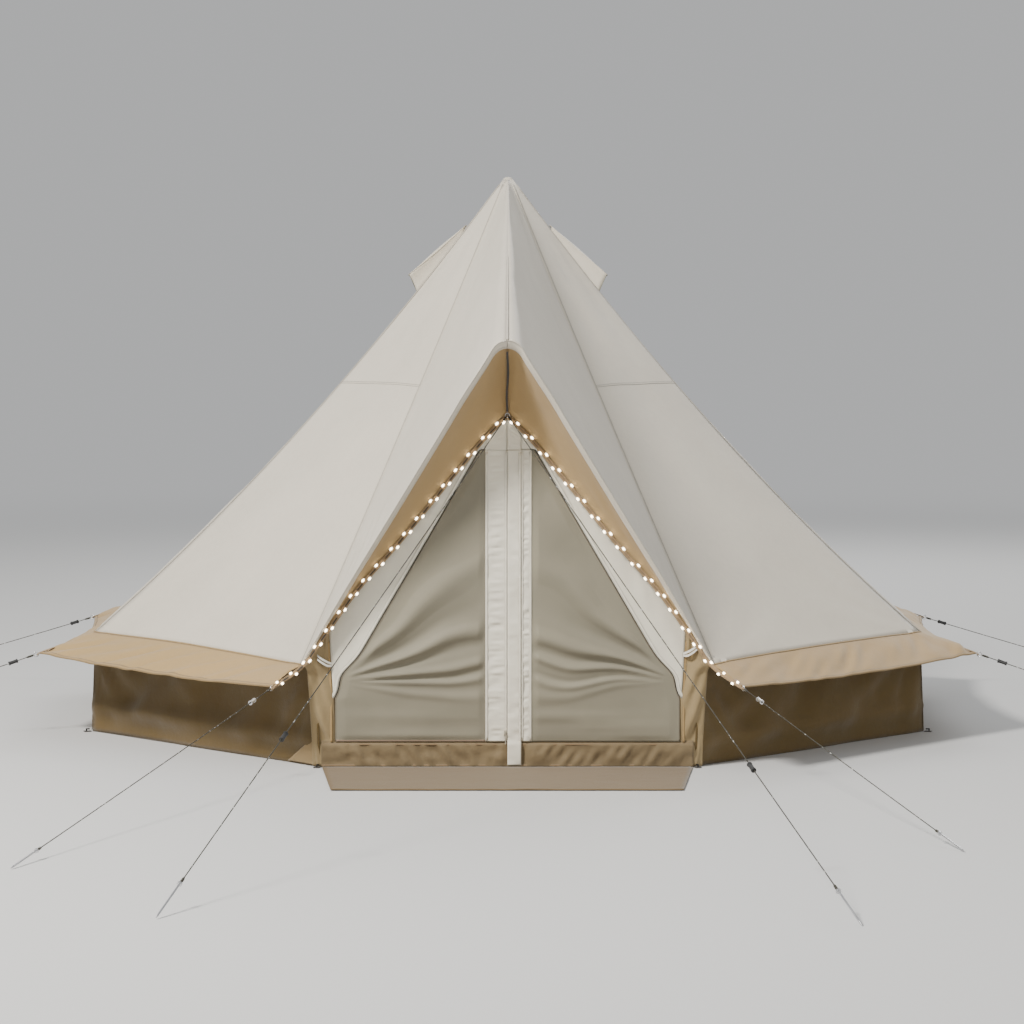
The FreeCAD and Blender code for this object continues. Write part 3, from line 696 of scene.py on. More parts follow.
def add_hem_and_soffit():
    """The pale facing along the awning's edge, and the tan lining between it and the door wall."""
    count = 90
    for name, side in SIDES:
        corner = front_corner(side)
        hem = resample(hem_points(side), count)
        gable = resample(gable_points(side) + [corner + (-side * 0.012, 0.006, -0.010)], count)
        inner = gable - hem
        inner = unit(inner)
        width = np.minimum(HEM_WIDTH, 0.5 * np.linalg.norm(gable - hem, axis=1))[:, None]
        t = np.linspace(0, 1, 7)
        roll = 0.005 * np.sin(np.pi * t)
        forward = np.array([side * 0.2, -0.9, -0.2])
        grid = np.stack([hem + inner * width * a + forward * b for a, b in zip(t, roll)], axis=1)
        puckers = lattice_noise(*shares(7, count), 3, 80, 70 + side)
        grid = grid + forward * (puckers * 0.0012)[..., None]
        grid = mirrored(grid, side)
        # the facing's cloth is painted lighter than the roof, as painted light
        facing = cloth_piece(f"awning_hem_{name}", grid, hem_cloth, "tent", 0.0016)
        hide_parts("awning_hem")
        for number, place in enumerate((0.06, 0.80)):
            line = hem + inner * width * place + forward * 0.0045
            tape(f"awning_hem_stitching_{name}_{number}", line, inner, 0.007, roof_seam, "tent", lift=0.001,
                 slot="hem_fabric")
            rows = 26
        start = hem + inner * width * 0.85 + np.array([0, 0.004, 0.001])
        grid = ruled(start, gable, rows)
        uu, vv = shares(count, rows)
        sag = 4 * vv * (1 - vv) * 0.018 * (1 - uu)
        creases = lattice_noise(uu, vv, 14, 4, 80 + side) * 0.004 * (1 - uu)
        grid = grid + np.array([0, 0.7, 0.7]) * (sag + creases * 4 * vv * (1 - vv))[..., None]
        grid = mirrored(grid, side)
        soffit = cloth_piece(f"awning_soffit_{name}", grid, tan_cloth, "tent")
        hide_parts("awning_soffit")
        declare_cloth(grid)


def add_eave_band():
    cols_each, rows = 90, 17
    inner, outer = [], []
    for corner in range(LAST_CORNER):
        u = np.linspace(0, 1, cols_each, endpoint=corner == LAST_CORNER - 1)
        grid = gore_grid(corner)[-1]
        at = np.linspace(0, 1, GORE_COLS)
        inner.append(np.stack([np.interp(u, at, grid[:, i]) for i in range(3)], axis=1))
        a, b = eave_tip(corner), eave_tip(corner + 1)
        edge = a * (1 - u[:, None]) + b * u[:, None]
        bow = (4 * u * (1 - u))[:, None]
        centre = -(a + b) / 2 * (1, 1, 0)
        centre = unit(centre)
        scallop = 0.012 if corner in (0, LAST_CORNER - 1) else 0.075
        outer.append(edge + centre * bow * scallop + np.array([0, 0, -0.020]) * bow)
    inner, outer = np.concatenate(inner), np.concatenate(outer)
    grid = ruled(inner, outer, rows)
    cols = len(inner)
    uu, vv = shares(cols, rows)
    slanted = np.clip(uu + vv * 0.030, 0, 1)
    ripple = lattice_noise(slanted, vv, 190, 1, 90) * 0.0125 + lattice_noise(slanted, vv, 60, 1, 91) * 0.0090
    ripple = ripple * (1 - 0.75 * smooth_step(vv, 0.75, 1.0))
    normal = grid_normals(grid)
    sign = np.sign(normal[..., 2:3])
    grid = grid + normal * sign * (ripple * smooth_step(vv, 0.0, 0.5))[..., None]
    if normal[5, 20, 2] < 0:
        grid = grid[:, ::-1]
    band = cloth_piece("eave_band_cloth", grid, tan_cloth, "tent")
    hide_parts("eave_band")
    declare_cloth(grid)
    across = grid[-1] - grid[-2]
    hem_line = grid[-1] - unit(across) * 0.010 + (0, 0, 0.0012)
    tape("eave_band_hem", hem_line, across, 0.020, tan_seam, "tent")
    join = grid[0] + (grid[1] - grid[0]) * 0.12 + (0, 0, 0.0010)
    tape("eave_band_join", join, grid[1] - grid[0], 0.008, tan_seam, "tent")


def add_walls():
    cols_each, rows = 46, 22
    foot, top = [], []
    for corner in range(LAST_CORNER):
        u = np.linspace(0, 1, cols_each, endpoint=corner == LAST_CORNER - 1)[:, None]
        ends = []
        for c in (corner, corner + 1):
            low = corner_direction(c) * (FOOT_RADIUS - 0.001) + (0, 0, 0.0005)
            if c in (0, LAST_CORNER):
                side = 1 if c == 0 else -1
                high = np.array([side * 0.836, -1.992, FRONT_FOOT - 0.003])
            else:
                high = corner_direction(c) * (WALL_TOP_RADIUS - 0.002) + (0, 0, ROOF_FOOT - 0.006)
            ends.append((low, high))
        foot.append(ends[0][0] * (1 - u) + ends[1][0] * u)
        top.append(ends[0][1] * (1 - u) + ends[1][1] * u)
    foot, top = np.concatenate(foot), np.concatenate(top)
    grid = ruled(top, foot, rows)
    cols = grid.shape[1]
    uu, vv = shares(cols, rows)
    outward = grid * (1, 1, 0)
    outward = unit(outward)
    segment = (uu * LAST_CORNER) % 1.0
    held = smooth_step(segment, 0, 0.08) * smooth_step(1 - segment, 0, 0.08)
    diagonal = np.clip(uu + vv * 0.035, 0, 1)
    soft = lattice_noise(diagonal, vv, 62, 3, 100) * 0.034 + lattice_noise(uu, vv, 120, 6, 101) * 0.0080
    fans = np.zeros_like(uu)
    for at, turn in ((0.0, 1.0), (1.0, -1.0)):
        angle = np.arctan2(vv * 0.46 + 0.02, turn * (segment - at) * 1.64 + 0.02)
        reach = np.exp(-np.abs(segment - at) / 0.28)
        fans += 0.0130 * reach * np.sin(angle * 15 + np.floor(uu * LAST_CORNER) * 2 + at)
    belly = -0.016 * np.sin(np.pi * vv) * 4 * segment * (1 - segment) + 0.024 * np.exp(-((vv - 0.74) / 0.09) ** 2)
    foot_wave = lattice_noise(uu, 0 * vv, 30, 1, 102) * 0.014 * smooth_step(vv, 0.55, 1.0)
    lift = ((soft + fans) * np.sin(np.pi * np.clip(vv * 0.93 + 0.04, 0, 1)) + belly + foot_wave) * (0.12 + 0.88 * held)
    grid = grid + outward * lift[..., None]
    grid = facing(grid, outward[5, 10], 5, 10)
    wall = cloth_piece("wall_cloth_round", grid, wall_cloth, "tent")
    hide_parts("wall_panels")
    declare_cloth(grid)
    for corner in range(LAST_CORNER + 1):
        low = corner_direction(corner) * (FOOT_RADIUS + 0.0015) + (0, 0, 0.004)
        if corner in (0, LAST_CORNER):
            side = 1 if corner == 0 else -1
            high = np.array([side * 0.837, -1.9945, FRONT_FOOT - 0.01])
        else:
            high = corner_direction(corner) * (WALL_TOP_RADIUS + 0.001) + (0, 0, ROOF_FOOT - 0.012)
        line = np.linspace(high, low, 24)
        across = np.cross(corner_direction(corner), (0, 0, 1.0))
        tape(f"wall_corner_seam_{corner}", line, across, 0.010, wall_seam, "tent", lift=0.0006)


# ---------------------------------------------------------------- door wall


def slanted_x(z):
    """Half the door's width at a height: slanted, a little rounded at the knee, then straight down."""
    slope = (DOOR_KNEE[0] - DOOR_TOP[0]) / (DOOR_TOP[1] - DOOR_KNEE[1])
    bow = 0.027 * np.exp(-((z - 0.405) / 0.055) ** 2)
    slanted = np.minimum(DOOR_TOP[0] + (DOOR_TOP[1] - z) * slope + bow, DOOR_KNEE[0])
    return np.where(z > DOOR_KNEE[1], slanted, DOOR_KNEE[0])


def add_door_surround():
    """The fixed cloth outside the door's slanted edges and above its top, with the strips' fixed ends."""
    for name, side in SIDES:
        rim = [door_wall(p[0], p[2] - 0.004) for p in gable_points(side)[:5]] + [door_wall(side * 0.777, 0.600)]
        split = 10
        outer = np.concatenate([resample(rim[:2], split)[:-1], resample(rim[1:], 60)])
        edge_top = resample([door_wall(x, DOOR_TOP[1] + 0.004) for x in (0, side * DOOR_TOP[0])], split)
        z = np.linspace(DOOR_TOP[1], DOOR_KNEE[1], 60)
        inner = np.concatenate([edge_top[:-1], door_wall(side * (slanted_x(z) + 0.003), z)])
        grid = ruled(outer, inner, 12)
        near_zip = 1 - smooth_step(np.abs(inner[:split - 1, 0]), 0.055, 0.080)
        tuck = np.zeros_like(inner)
        tuck[:split - 1] = near_zip[:, None] * (0, 0.005, -0.014)
        tuck[split - 1:] = (-side * 0.003, 0.004, 0)
        grid = np.concatenate([grid, (inner + tuck)[None]])
        uu, vv = shares(grid.shape[1], 13)
        ease = np.sin(np.pi * vv) * (lattice_noise(uu, vv, 16, 3, 110 + side) * 0.004 - 0.002)
        grid = grid + np.array([0, 1, 0]) * ease[..., None]
        grid = mirrored(grid, side)
        piece = cloth_piece(f"door_surround_{name}", grid, door_cloth, "tent")
        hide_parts("door_surround")
        declare_cloth(grid)
        z = np.linspace(DOOR_TOP[1] - 0.004, DOOR_KNEE[1] + 0.004, 90)
        line = door_wall(side * (slanted_x(z) + 0.011), z, 0.0020)
        tape(f"door_surround_hem_{name}", line, (1, 0, 0.4 * side), 0.013, cream_seam, "tent")
    for name, low, high, out in (("left", -0.096, -0.0005, 0.0036), ("cover", 0.0003, 0.058, 0.0085),
                                 ("right", 0.0585, 0.097, 0.0014)):
        t = np.linspace(0, 1, 9)
        x = np.broadcast_to(low * (1 - t) + high * t, (40, 9))
        top = gable_height(x[0]) - 0.010
        bottom = DOOR_TOP[1] + 0.0004
        share = np.linspace(0, 1, 40)[:, None]
        z = np.minimum(top[None] * (1 - share) + bottom * share, top[None])
        uu, vv = np.meshgrid(t, share[:, 0])
        puckers = lattice_noise(uu, vv, 3, 16, 115 + int(high * 100)) * 0.0016
        edge = smooth_step(uu, 0, 0.2) * smooth_step(1 - uu, 0, 0.2)
        grid = door_wall(x, z, out + puckers * edge)[:, ::-1]
        cloth_piece(f"door_strip_head_{name}", grid, door_cloth, "tent")


def add_gussets():
    """The tan pieces beside the door, which wrap round the front corners on to the walls."""
    for name, side in SIDES:
        outer = resample([(side * 0.786, -2.000, 0.604), (side * 0.835, -2.014, 0.535), (side * 0.886, -2.029, 0.458),
                          (side * 0.872, -2.002, 0.425), (side * 0.864, -1.990, 0.300), (side * 0.854, -1.974, 0.106),
                          (side * 0.852, -1.970, 0.004)], 52)
        inner = resample([(side * 0.775, -1.983, 0.606), door_wall(side * 0.774, 0.556, -0.002),
                          door_wall(side * 0.750, 0.300, -0.003), door_wall(side * 0.750, 0.106, -0.003),
                          door_wall(side * 0.806, 0.092, 0.001), door_wall(side * 0.809, 0.004, 0.001)], 52)
        grid = ruled(outer, inner, 14)
        uu, vv = shares(52, 14)
        folds = 0.0070 * np.sin(uu * 20 - vv * 9) + lattice_noise(uu, vv, 10, 4, 120 + side) * 0.0045
        bulge = 0.016 * np.sin(np.pi * vv) * smooth_step(uu, 0.2, 0.45) * (1 - smooth_step(uu, 0.62, 0.8))
        lift = folds * np.sin(np.pi * vv) * (1 - 0.6 * smooth_step(uu, 0.7, 0.9)) + bulge
        grid = grid + np.array([side * 0.3, -0.95, 0]) * lift[..., None]
        grid = mirrored(grid, side)
        piece = cloth_piece(f"door_gusset_{name}", grid, gusset_cloth, "tent")
        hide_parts("door_gussets")
        declare_cloth(grid)
        x, z = np.array([(0.779, 0.55), (0.774, 0.44), (0.769, 0.33), (0.768, 0.24), (0.768, 0.11)]).T
        line = door_wall(side * x, z, 0.003)
        tape(f"door_gusset_seam_{name}", resample(line, 50), (1, 0, 0), 0.010, tan_seam, "tent")
        # a white tie-back loop for the rolled door leaf
        rise = 0.0 if side < 0 else 0.045
        for number in (0, 1):
            drop = number * 0.016
            loop = smooth_line([
                door_wall(side * 0.826, 0.492 + rise - drop, 0.036),
                door_wall(side * 0.806, 0.476 + rise - drop, 0.034),
                door_wall(side * 0.784, 0.462 + rise - drop, 0.024),
                door_wall(side * 0.764, 0.452 + rise - drop * 0.5, 0.010),
            ], 8)
            tape(f"tie_back_{name}_{number}", loop, (0, 0.3, 1), 0.010, white_webbing, "tent")


LEAF_GAP = 0.004
CREASE_HEIGHT = 0.0125
LEFT_STRIP, RIGHT_STRIP = (0.0005, 0.096), (0.0585, 0.106)
LEAF_FOLDS = ((-6, 2.6, 0.5), (0, 1.9, 0.8), (4, 1.6, -0.8), (8.5, 2.0, 1.1), (13.5, 2.4, -1.2), (20, 3.2, 1.4),
              (28, 4.2, -1.5), (38, 4.8, 1.6), (50, 6.0, -0.7), (62, 8.0, 0.6))


def leaf_wrinkles(side, x, z):
    """Folds that fan out from the lower outer corner of a door leaf towards the zip."""
    dx, dz = DOOR_KNEE[0] + 0.02 - np.abs(x), z - (DOOR_KNEE[1] + 0.075)
    wander = lattice_noise(np.clip(dx, 0, 1), np.clip(z / 1.4, 0, 1), 4, 7, 130 + side)
    angle = np.degrees(np.arctan2(dz, dx)) + wander * 3.2
    distance = np.hypot(dx, dz)
    fan = np.zeros_like(x)
    for number, (turn, width, height) in enumerate(LEAF_FOLDS):
        place = turn + 1.3 * math.sin(number * 2.1 + side)
        grow = smooth_step(distance, 0.03, 0.34) * (1 - 0.55 * smooth_step(distance, 0.5, 0.95))
        fan += height * grow * np.exp(-((angle - place) / width) ** 2)
    upper = smooth_step(z, 0.75, 1.0) * (1 - smooth_step(z, 1.15, 1.36))
    drape = 0.7 * np.sin((dx * 0.8 + z * 0.6) * 12 + side) * upper
    crumple = lattice_noise(np.clip(dx, 0, 1), np.clip(z / 0.4, 0, 1), 5, 9, 136 + side)
    low = 0.35 * crumple * (1 - smooth_step(z, 0.2, 0.42))
    return CREASE_HEIGHT * (fan + drape + low)


def add_door_leaf(name, side, strip_from, strip_to):
    """A netted leaf with a dark painted shadow line along its slanted edge, and a puckered cream strip beside the zip.
    """
    body = f"{name}_door"
    rows, cols = 170, 110
    z = np.linspace(DOOR_TOP[1], DOOR_BOTTOM, rows)
    edge = slanted_x(z) - LEAF_GAP
    t = np.linspace(0, 1, cols)
    inner = strip_to - 0.006
    x = side * (edge[:, None] * (1 - t) + inner * t)
    zz = np.broadcast_to(z[:, None], x.shape)
    lift = leaf_wrinkles(side, x, zz)
    lift = np.where(lift < 0, lift * 0.55, lift) + 0.006
    near_edge = smooth_step(edge[:, None] - np.abs(x), 0.0, 0.05) * smooth_step(np.abs(x) - inner, 0.0, 0.04)
    near_edge = near_edge * smooth_step(zz, DOOR_BOTTOM, DOOR_BOTTOM + 0.03)
    grid = door_wall(x, zz, 0.0012 + lift * near_edge)
    grid = mirrored(grid, side)
    leaf = cloth_piece(f"door_leaf_{name}", grid, door_net, body)
    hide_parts(f"door_flap_{name}")
    rows, cols = 240, 9
    z = np.linspace(DOOR_TOP[1] - 0.0004, DOOR_BOTTOM + 0.002, rows)
    t = np.linspace(0, 1, cols)
    x = side * (strip_to * (1 - t) + strip_from * t)[None, :] + 0 * z[:, None]
    zz = np.broadcast_to(z[:, None], x.shape)
    uu, vv = np.meshgrid(t, np.linspace(0, 1, rows))
    puckers = lattice_noise(uu, vv, 2, 110, 140 + side) * 0.0044 + lattice_noise(uu, vv, 1, 46, 150 + side) * 0.0030
    grid = door_wall(x, zz, 0.0036 + puckers * np.sin(np.pi * np.clip(uu, 0.05, 0.95)))
    grid = mirrored(grid, side)
    strip = cloth_piece(f"door_strip_{name}", grid, door_cloth, body)
    trims = [strip]
    for number, place in enumerate((strip_to - 0.006, strip_from + 0.006)):
        line = door_wall(np.full(60, side * place), np.linspace(DOOR_TOP[1] - 0.01, DOOR_BOTTOM + 0.004, 60), 0.0058)
        trim = tape(f"door_strip_seam_{name}_{number}", line, (1, 0, 0), 0.009, cream_seam, body)
        trims.append(trim)
    z = np.linspace(DOOR_TOP[1] - 0.01, DOOR_BOTTOM + 0.003, 120)
    line = door_wall(side * (slanted_x(z) - 0.0060), z, 0.0020)
    # a thin dark strip along the slanted edge: painted shadow for the gap between leaf and surround
    edge_shadow_line = tape(f"door_edge_shadow_line_{name}", line, (1, 0, 0.3 * side), 0.0045, door_trim, body, lift=0.0006)
    foot = door_wall(side * np.linspace(DOOR_KNEE[0] - 0.008, strip_to, 60), np.full(60, DOOR_BOTTOM + 0.005), 0.0024)
    foot_binding = tape(f"door_foot_binding_{name}", foot, (0, 0, 1), 0.008, foot_trim, body, lift=0.0006)
    trims += [edge_shadow_line, foot_binding]
    declare_cloth(grid_leaf_flat(side, inner))


def grid_leaf_flat(side, inner):
    """The flat outline of a leaf, for its cut size."""
    z = np.linspace(DOOR_TOP[1], DOOR_BOTTOM, 40)
    t = np.linspace(0, 1, 20)
    x = side * ((slanted_x(z) - LEAF_GAP)[:, None] * (1 - t) + inner * t)
    return np.stack([x, 0 * x, np.broadcast_to(z[:, None], x.shape)], axis=-1)


def add_zip_cover():
    rows, cols = 200, 9
    z = np.linspace(DOOR_TOP[1] - 0.0004, 0.010, rows)
    t = np.linspace(0, 1, cols)
    x = (0.0003 * (1 - t) + 0.060 * t)[None, :] + 0 * z[:, None]
    uu, vv = np.meshgrid(t, np.linspace(0, 1, rows))
    wave = lattice_noise(uu, vv, 1, 60, 160) * 0.0034 + lattice_noise(uu, vv, 1, 18, 161) * 0.0035
    zz = np.broadcast_to(z[:, None], x.shape)
    tail = 0.0055 * smooth_step(SILL_TOP + 0.016 - zz, 0, 0.02)
    grid = door_wall(x, zz, 0.0085 + wave * smooth_step(uu + 0.2, 0, 0.5) * 0.8 + tail)[:, ::-1]
    cover = cloth_piece("zip_cover_cloth", grid, door_cloth, "right_door", 0.0016)
    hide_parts("zip_cover")
    line = door_wall(np.full(60, 0.0540), np.linspace(DOOR_TOP[1] - 0.01, 0.02, 60), 0.0108)
    seam = tape("zip_cover_seam", line, (1, 0, 0), 0.009, cream_seam, "right_door")
    declare_cloth(grid)


SILL_HALF = 0.812
MAT_FRONT_HALF = 0.731


def add_sill_and_mat():
    cols, rows = 190, 16
    x, z = np.meshgrid(np.linspace(-SILL_HALF, SILL_HALF, cols), np.linspace(SILL_TOP + 0.012, 0.002, rows))
    uu, vv = shares(cols, rows)
    lean = np.where(uu < 0.5, 1.0, -1.0) * smooth_step(np.abs(uu - 0.5), 0.0, 0.1)
    slanted = np.clip(uu - lean * vv * 0.035, 0, 1)
    folds = lattice_noise(slanted, vv, 60, 1, 170) * 0.015 + lattice_noise(uu, vv, 24, 3, 171) * 0.006
    folds = folds * (1 - 0.85 * np.exp(-((x - 0.03) / 0.045) ** 2))
    behind = 0.0085 * smooth_step(z, SILL_TOP - 0.003, SILL_TOP + 0.005)
    swell = np.sin(np.pi * np.clip(vv * 1.1 - 0.1, 0, 0.97))
    grid = door_wall(x, z, 0.0045 + np.clip(folds, -0.012, 0.010) * swell - behind)
    sill = cloth_piece("door_sill_cloth", grid, sill_cloth, "tent")
    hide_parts("door_sill")
    top = door_wall(np.linspace(-0.80, 0.80, 90), np.full(90, SILL_TOP - 0.004), 0.003)
    bottom = door_wall(np.linspace(-0.81, 0.81, 90), np.full(90, 0.008), 0.003)
    for name, line in (("top", top), ("bottom", bottom)):
        trim = tape(f"door_sill_seam_{name}", line, (0, 0, 1), 0.008, sill_seam, "tent")
    declare_cloth(grid)
    mat_low, mat_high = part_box("doormat")
    cols, rows = 60, 24
    t = np.linspace(0, 1, rows)[:, None]
    half = mat_high[0] * (1 - t) + MAT_FRONT_HALF * t
    u = np.linspace(-1, 1, cols)[None, :]
    x = half * u
    y = mat_high[1] * (1 - t) + mat_low[1] * t + 0 * x
    wave = lattice_noise((u + 1) / 2 + 0 * t, t + 0 * u, 9, 4, 180)
    z = 0.0022 + 0.0022 * np.abs(wave) * (0.4 + 0.6 * t)
    grid = np.stack([x, y, z + 0 * x], axis=-1)
    mat = cloth_piece("doormat_cloth", grid, mat_cloth, "tent", 0.0018)
    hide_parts("doormat")
    rim = np.concatenate([grid[:, 0], grid[-1, 1:-1], grid[::-1, -1]])
    inward = rim * 0.988 + np.array([0, 0.004 - 2.3 * 0.012, 0.0012])
    across = np.gradient(inward, axis=0)[:, [1, 0, 2]] * (1, -1, 0)
    trim = tape("doormat_hem", inward, across, 0.016, tan_seam, "tent")
    declare_cloth(grid)


def add_groundsheet():
    radius = FOOT_RADIUS - 0.006
    rings, sectors = 24, 8 * 14
    angle = np.linspace(0, 2 * np.pi, sectors + 1)[:-1]
    eighth = math.pi / 4
    from_middle = (angle - math.radians(-90) + eighth / 2) % eighth - eighth / 2
    octagon = radius * math.cos(eighth / 2) / np.cos(from_middle)
    verts, faces = [(0, 0, 0.0016)], []
    rng = np.random.default_rng(190)
    for ring in range(1, rings + 1):
        r = octagon * ring / rings
        bumps = rng.uniform(0, 0.0012, sectors)
        for a, d, b in zip(angle, r, bumps):
            verts.append((d * math.cos(a), d * math.sin(a), 0.0012 + b))
    for i in range(sectors):
        faces.append((0, 1 + i, 1 + (i + 1) % sectors))
    for ring in range(rings - 1):
        for i in range(sectors):
            a = 1 + ring * sectors + i
            b = 1 + ring * sectors + (i + 1) % sectors
            faces.append((a, a + sectors, b + sectors, b))
    top = len(verts)
    verts += [(x, y, 0.0002) for x, y, _ in verts]
    faces += [tuple(v + top for v in reversed(f)) for f in list(faces)]
    last = 1 + (rings - 1) * sectors
    for i in range(sectors):
        a, b = last + i, last + (i + 1) % sectors
        faces.append((a, a + top, b + top, b))
    sheet = new_object("groundsheet_cloth", verts, faces, floor_cloth, "tent")
    layer = sheet.data.uv_layers.new(name="flat")
    for loop in sheet.data.loops:
        layer.data[loop.index].uv = sheet.data.vertices[loop.vertex_index].co[:2]
    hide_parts("groundsheet")


def add_cable_port():
    low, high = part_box("cable_port_flap")
    top = np.array([high[0], low[1], high[2]])
    far = np.array([low[0], high[1], low[2]])
    near = np.array([high[0], low[1], low[2]])
    near = near + (far - near) * 0.03
    t = np.linspace(0, 1, 16)[:, None, None]
    u = np.linspace(0, 1, 16)[None, :, None]
    edge = top[None, None] * (1 - u) + far[None, None] * u
    grid = edge * (1 - t) + (edge * 0.02 + near * 0.98) * t
    outward = np.array([-0.7071, -0.7071, 0])
    bulge = 0.003 * np.sin(np.pi * u) * np.sin(np.pi * t)
    grid = grid + outward * bulge
    grid = facing(grid, outward, 8, 8)
    # the flap's cloth is the tan painted darker, as painted shade
    flap = cloth_piece("cable_port_cloth", grid, port_cloth, "port_flap", 0.0014)
    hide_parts("cable_port_flap")
    declare_cloth(grid)


# ---------------------------------------------------------------- strip light


LAMP_PITCH = 0.085
LAMP_RADIUS = 0.0052


def add_strip_light():
    """Tan webbing along the gable, with warm lamps on both edges and dark holding ties."""
    rise = [ring / 4 * math.pi / 2 for ring in range(4)]
    dome = [(math.sin(at), LAMP_RADIUS * math.cos(at)) for at in rise]
    for name, side in SIDES:
        corner = front_corner(side)
        drops = [(0, -0.012, -0.012)] * 4 + [(0, -0.016, -0.014), (0, -0.020, -0.014)]
        path = [p + np.array(drop) for p, drop in zip(gable_points(side), drops)]
        path.append(corner + (-side * 0.004, -0.020, -0.006))
        path.append(eave_tip(0 if side > 0 else LAST_CORNER) + (-side * 0.004, 0.004, 0.001))
        line = resample(smooth_line(path, 10), 150)
        slope = np.gradient(line, axis=0) * (1, 0, 1)
        across = slope[:, [2, 1, 0]] * (-1, 0, 1) * side
        across = unit(across)
        strip = tape(f"light_strip_{name}", line, across, 0.018, tan_webbing, "tent", lift=0.002,
                     thickness=0.0016, slot="light_strip")
        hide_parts("led_strip")
        length = np.linalg.norm(np.diff(line, axis=0), axis=1).sum()
        count = int(length / LAMP_PITCH)
        out = np.array([0, -1.0, 0])
        lamps, holders, ties = ([], []), ([], []), ([], [])
        for k in range(count):
            at = int((k + 0.55) / count * (len(line) - 1))
            along = line[min(at + 2, len(line) - 1)] - line[at - 2]
            along = unit(along)
            for edge in (-1, 1):
                seat = line[at] + across[at] * (edge * 0.0085) + along * (edge * 0.012) + out * 0.0020
                add_slab(*holders, seat, along, 0.017, 0.0085, 0.0022)
                turn(*lamps, seat + out * 0.0022, out * LAMP_RADIUS, dome, 10, pointed=True)
            between = int((k + 1.05) / count * (len(line) - 1))
            if between < len(line) - 3:
                along = line[between + 2] - line[between - 2]
                add_slab(*ties, line[between] + out * 0.0022, unit(along), 0.036, 0.0050, 0.0012)
        for kind, parts, material in (("lamps", lamps, lamp_glow), ("lamp_seats", holders, lamp_lens),
                                      ("ties", ties, webbing)):
            new_object(f"light_{kind}_{name}", *parts, material, "tent", smooth=kind == "lamps")


def side_axes(axis):
    """Two directions square to an axis and to each other."""
    helper = np.array([0, 0, 1.0]) if abs(axis[2]) < 0.9 else np.array([1.0, 0, 0])
    first = unit(np.cross(axis, helper))
    return first, np.cross(axis, first)


def turn(verts, faces, start, reach, profile, sectors, pointed=False):
    """Turn a profile of (share of the reach, radius) about the line from start, with a flat or pointed end."""
    start, reach = np.asarray(start, float), np.asarray(reach, float)
    a, b = side_axes(unit(reach))
    angles = [2 * math.pi * k / sectors for k in range(sectors)]
    first = len(verts)
    for share, radius in profile:
        verts += [start + reach * share + radius * (math.cos(at) * a + math.sin(at) * b) for at in angles]
    for ring in range(len(profile) - 1):
        for k in range(sectors):
            p, q = first + ring * sectors + k, first + ring * sectors + (k + 1) % sectors
            faces.append((p, q, q + sectors, p + sectors))
    last = first + (len(profile) - 1) * sectors
    if pointed:
        verts.append(start + reach)
        faces += [(last + k, last + (k + 1) % sectors, last + sectors) for k in range(sectors)]
    else:
        faces.append(tuple(last + k for k in range(sectors)))
    faces.append(tuple(first + k for k in reversed(range(sectors))))


def add_slab(verts, faces, centre, along, length, width, height):
    """A small flat bar that lies along a direction on the front of the strip."""
    out = np.array([0, -1.0, 0])
    across = np.cross(along, out)
    across = unit(across)
    start = len(verts)
    for h in (0, height):
        for a, b in ((-1, -1), (1, -1), (1, 1), (-1, 1)):
            verts.append(centre + along * (a * length / 2) + across * (b * width / 2) + out * h)
    for face in ((0, 3, 2, 1), (4, 5, 6, 7), (0, 1, 5, 4), (1, 2, 6, 5), (2, 3, 7, 6), (3, 0, 4, 7)):
        faces.append(tuple(start + v for v in face))


# ---------------------------------------------------------------- vents and peak


def gore_height(distance):
    """Height of the side gore's centre line at a distance from the axis."""
    return ridge_height(distance / math.cos(math.pi / 8)) - 0.003


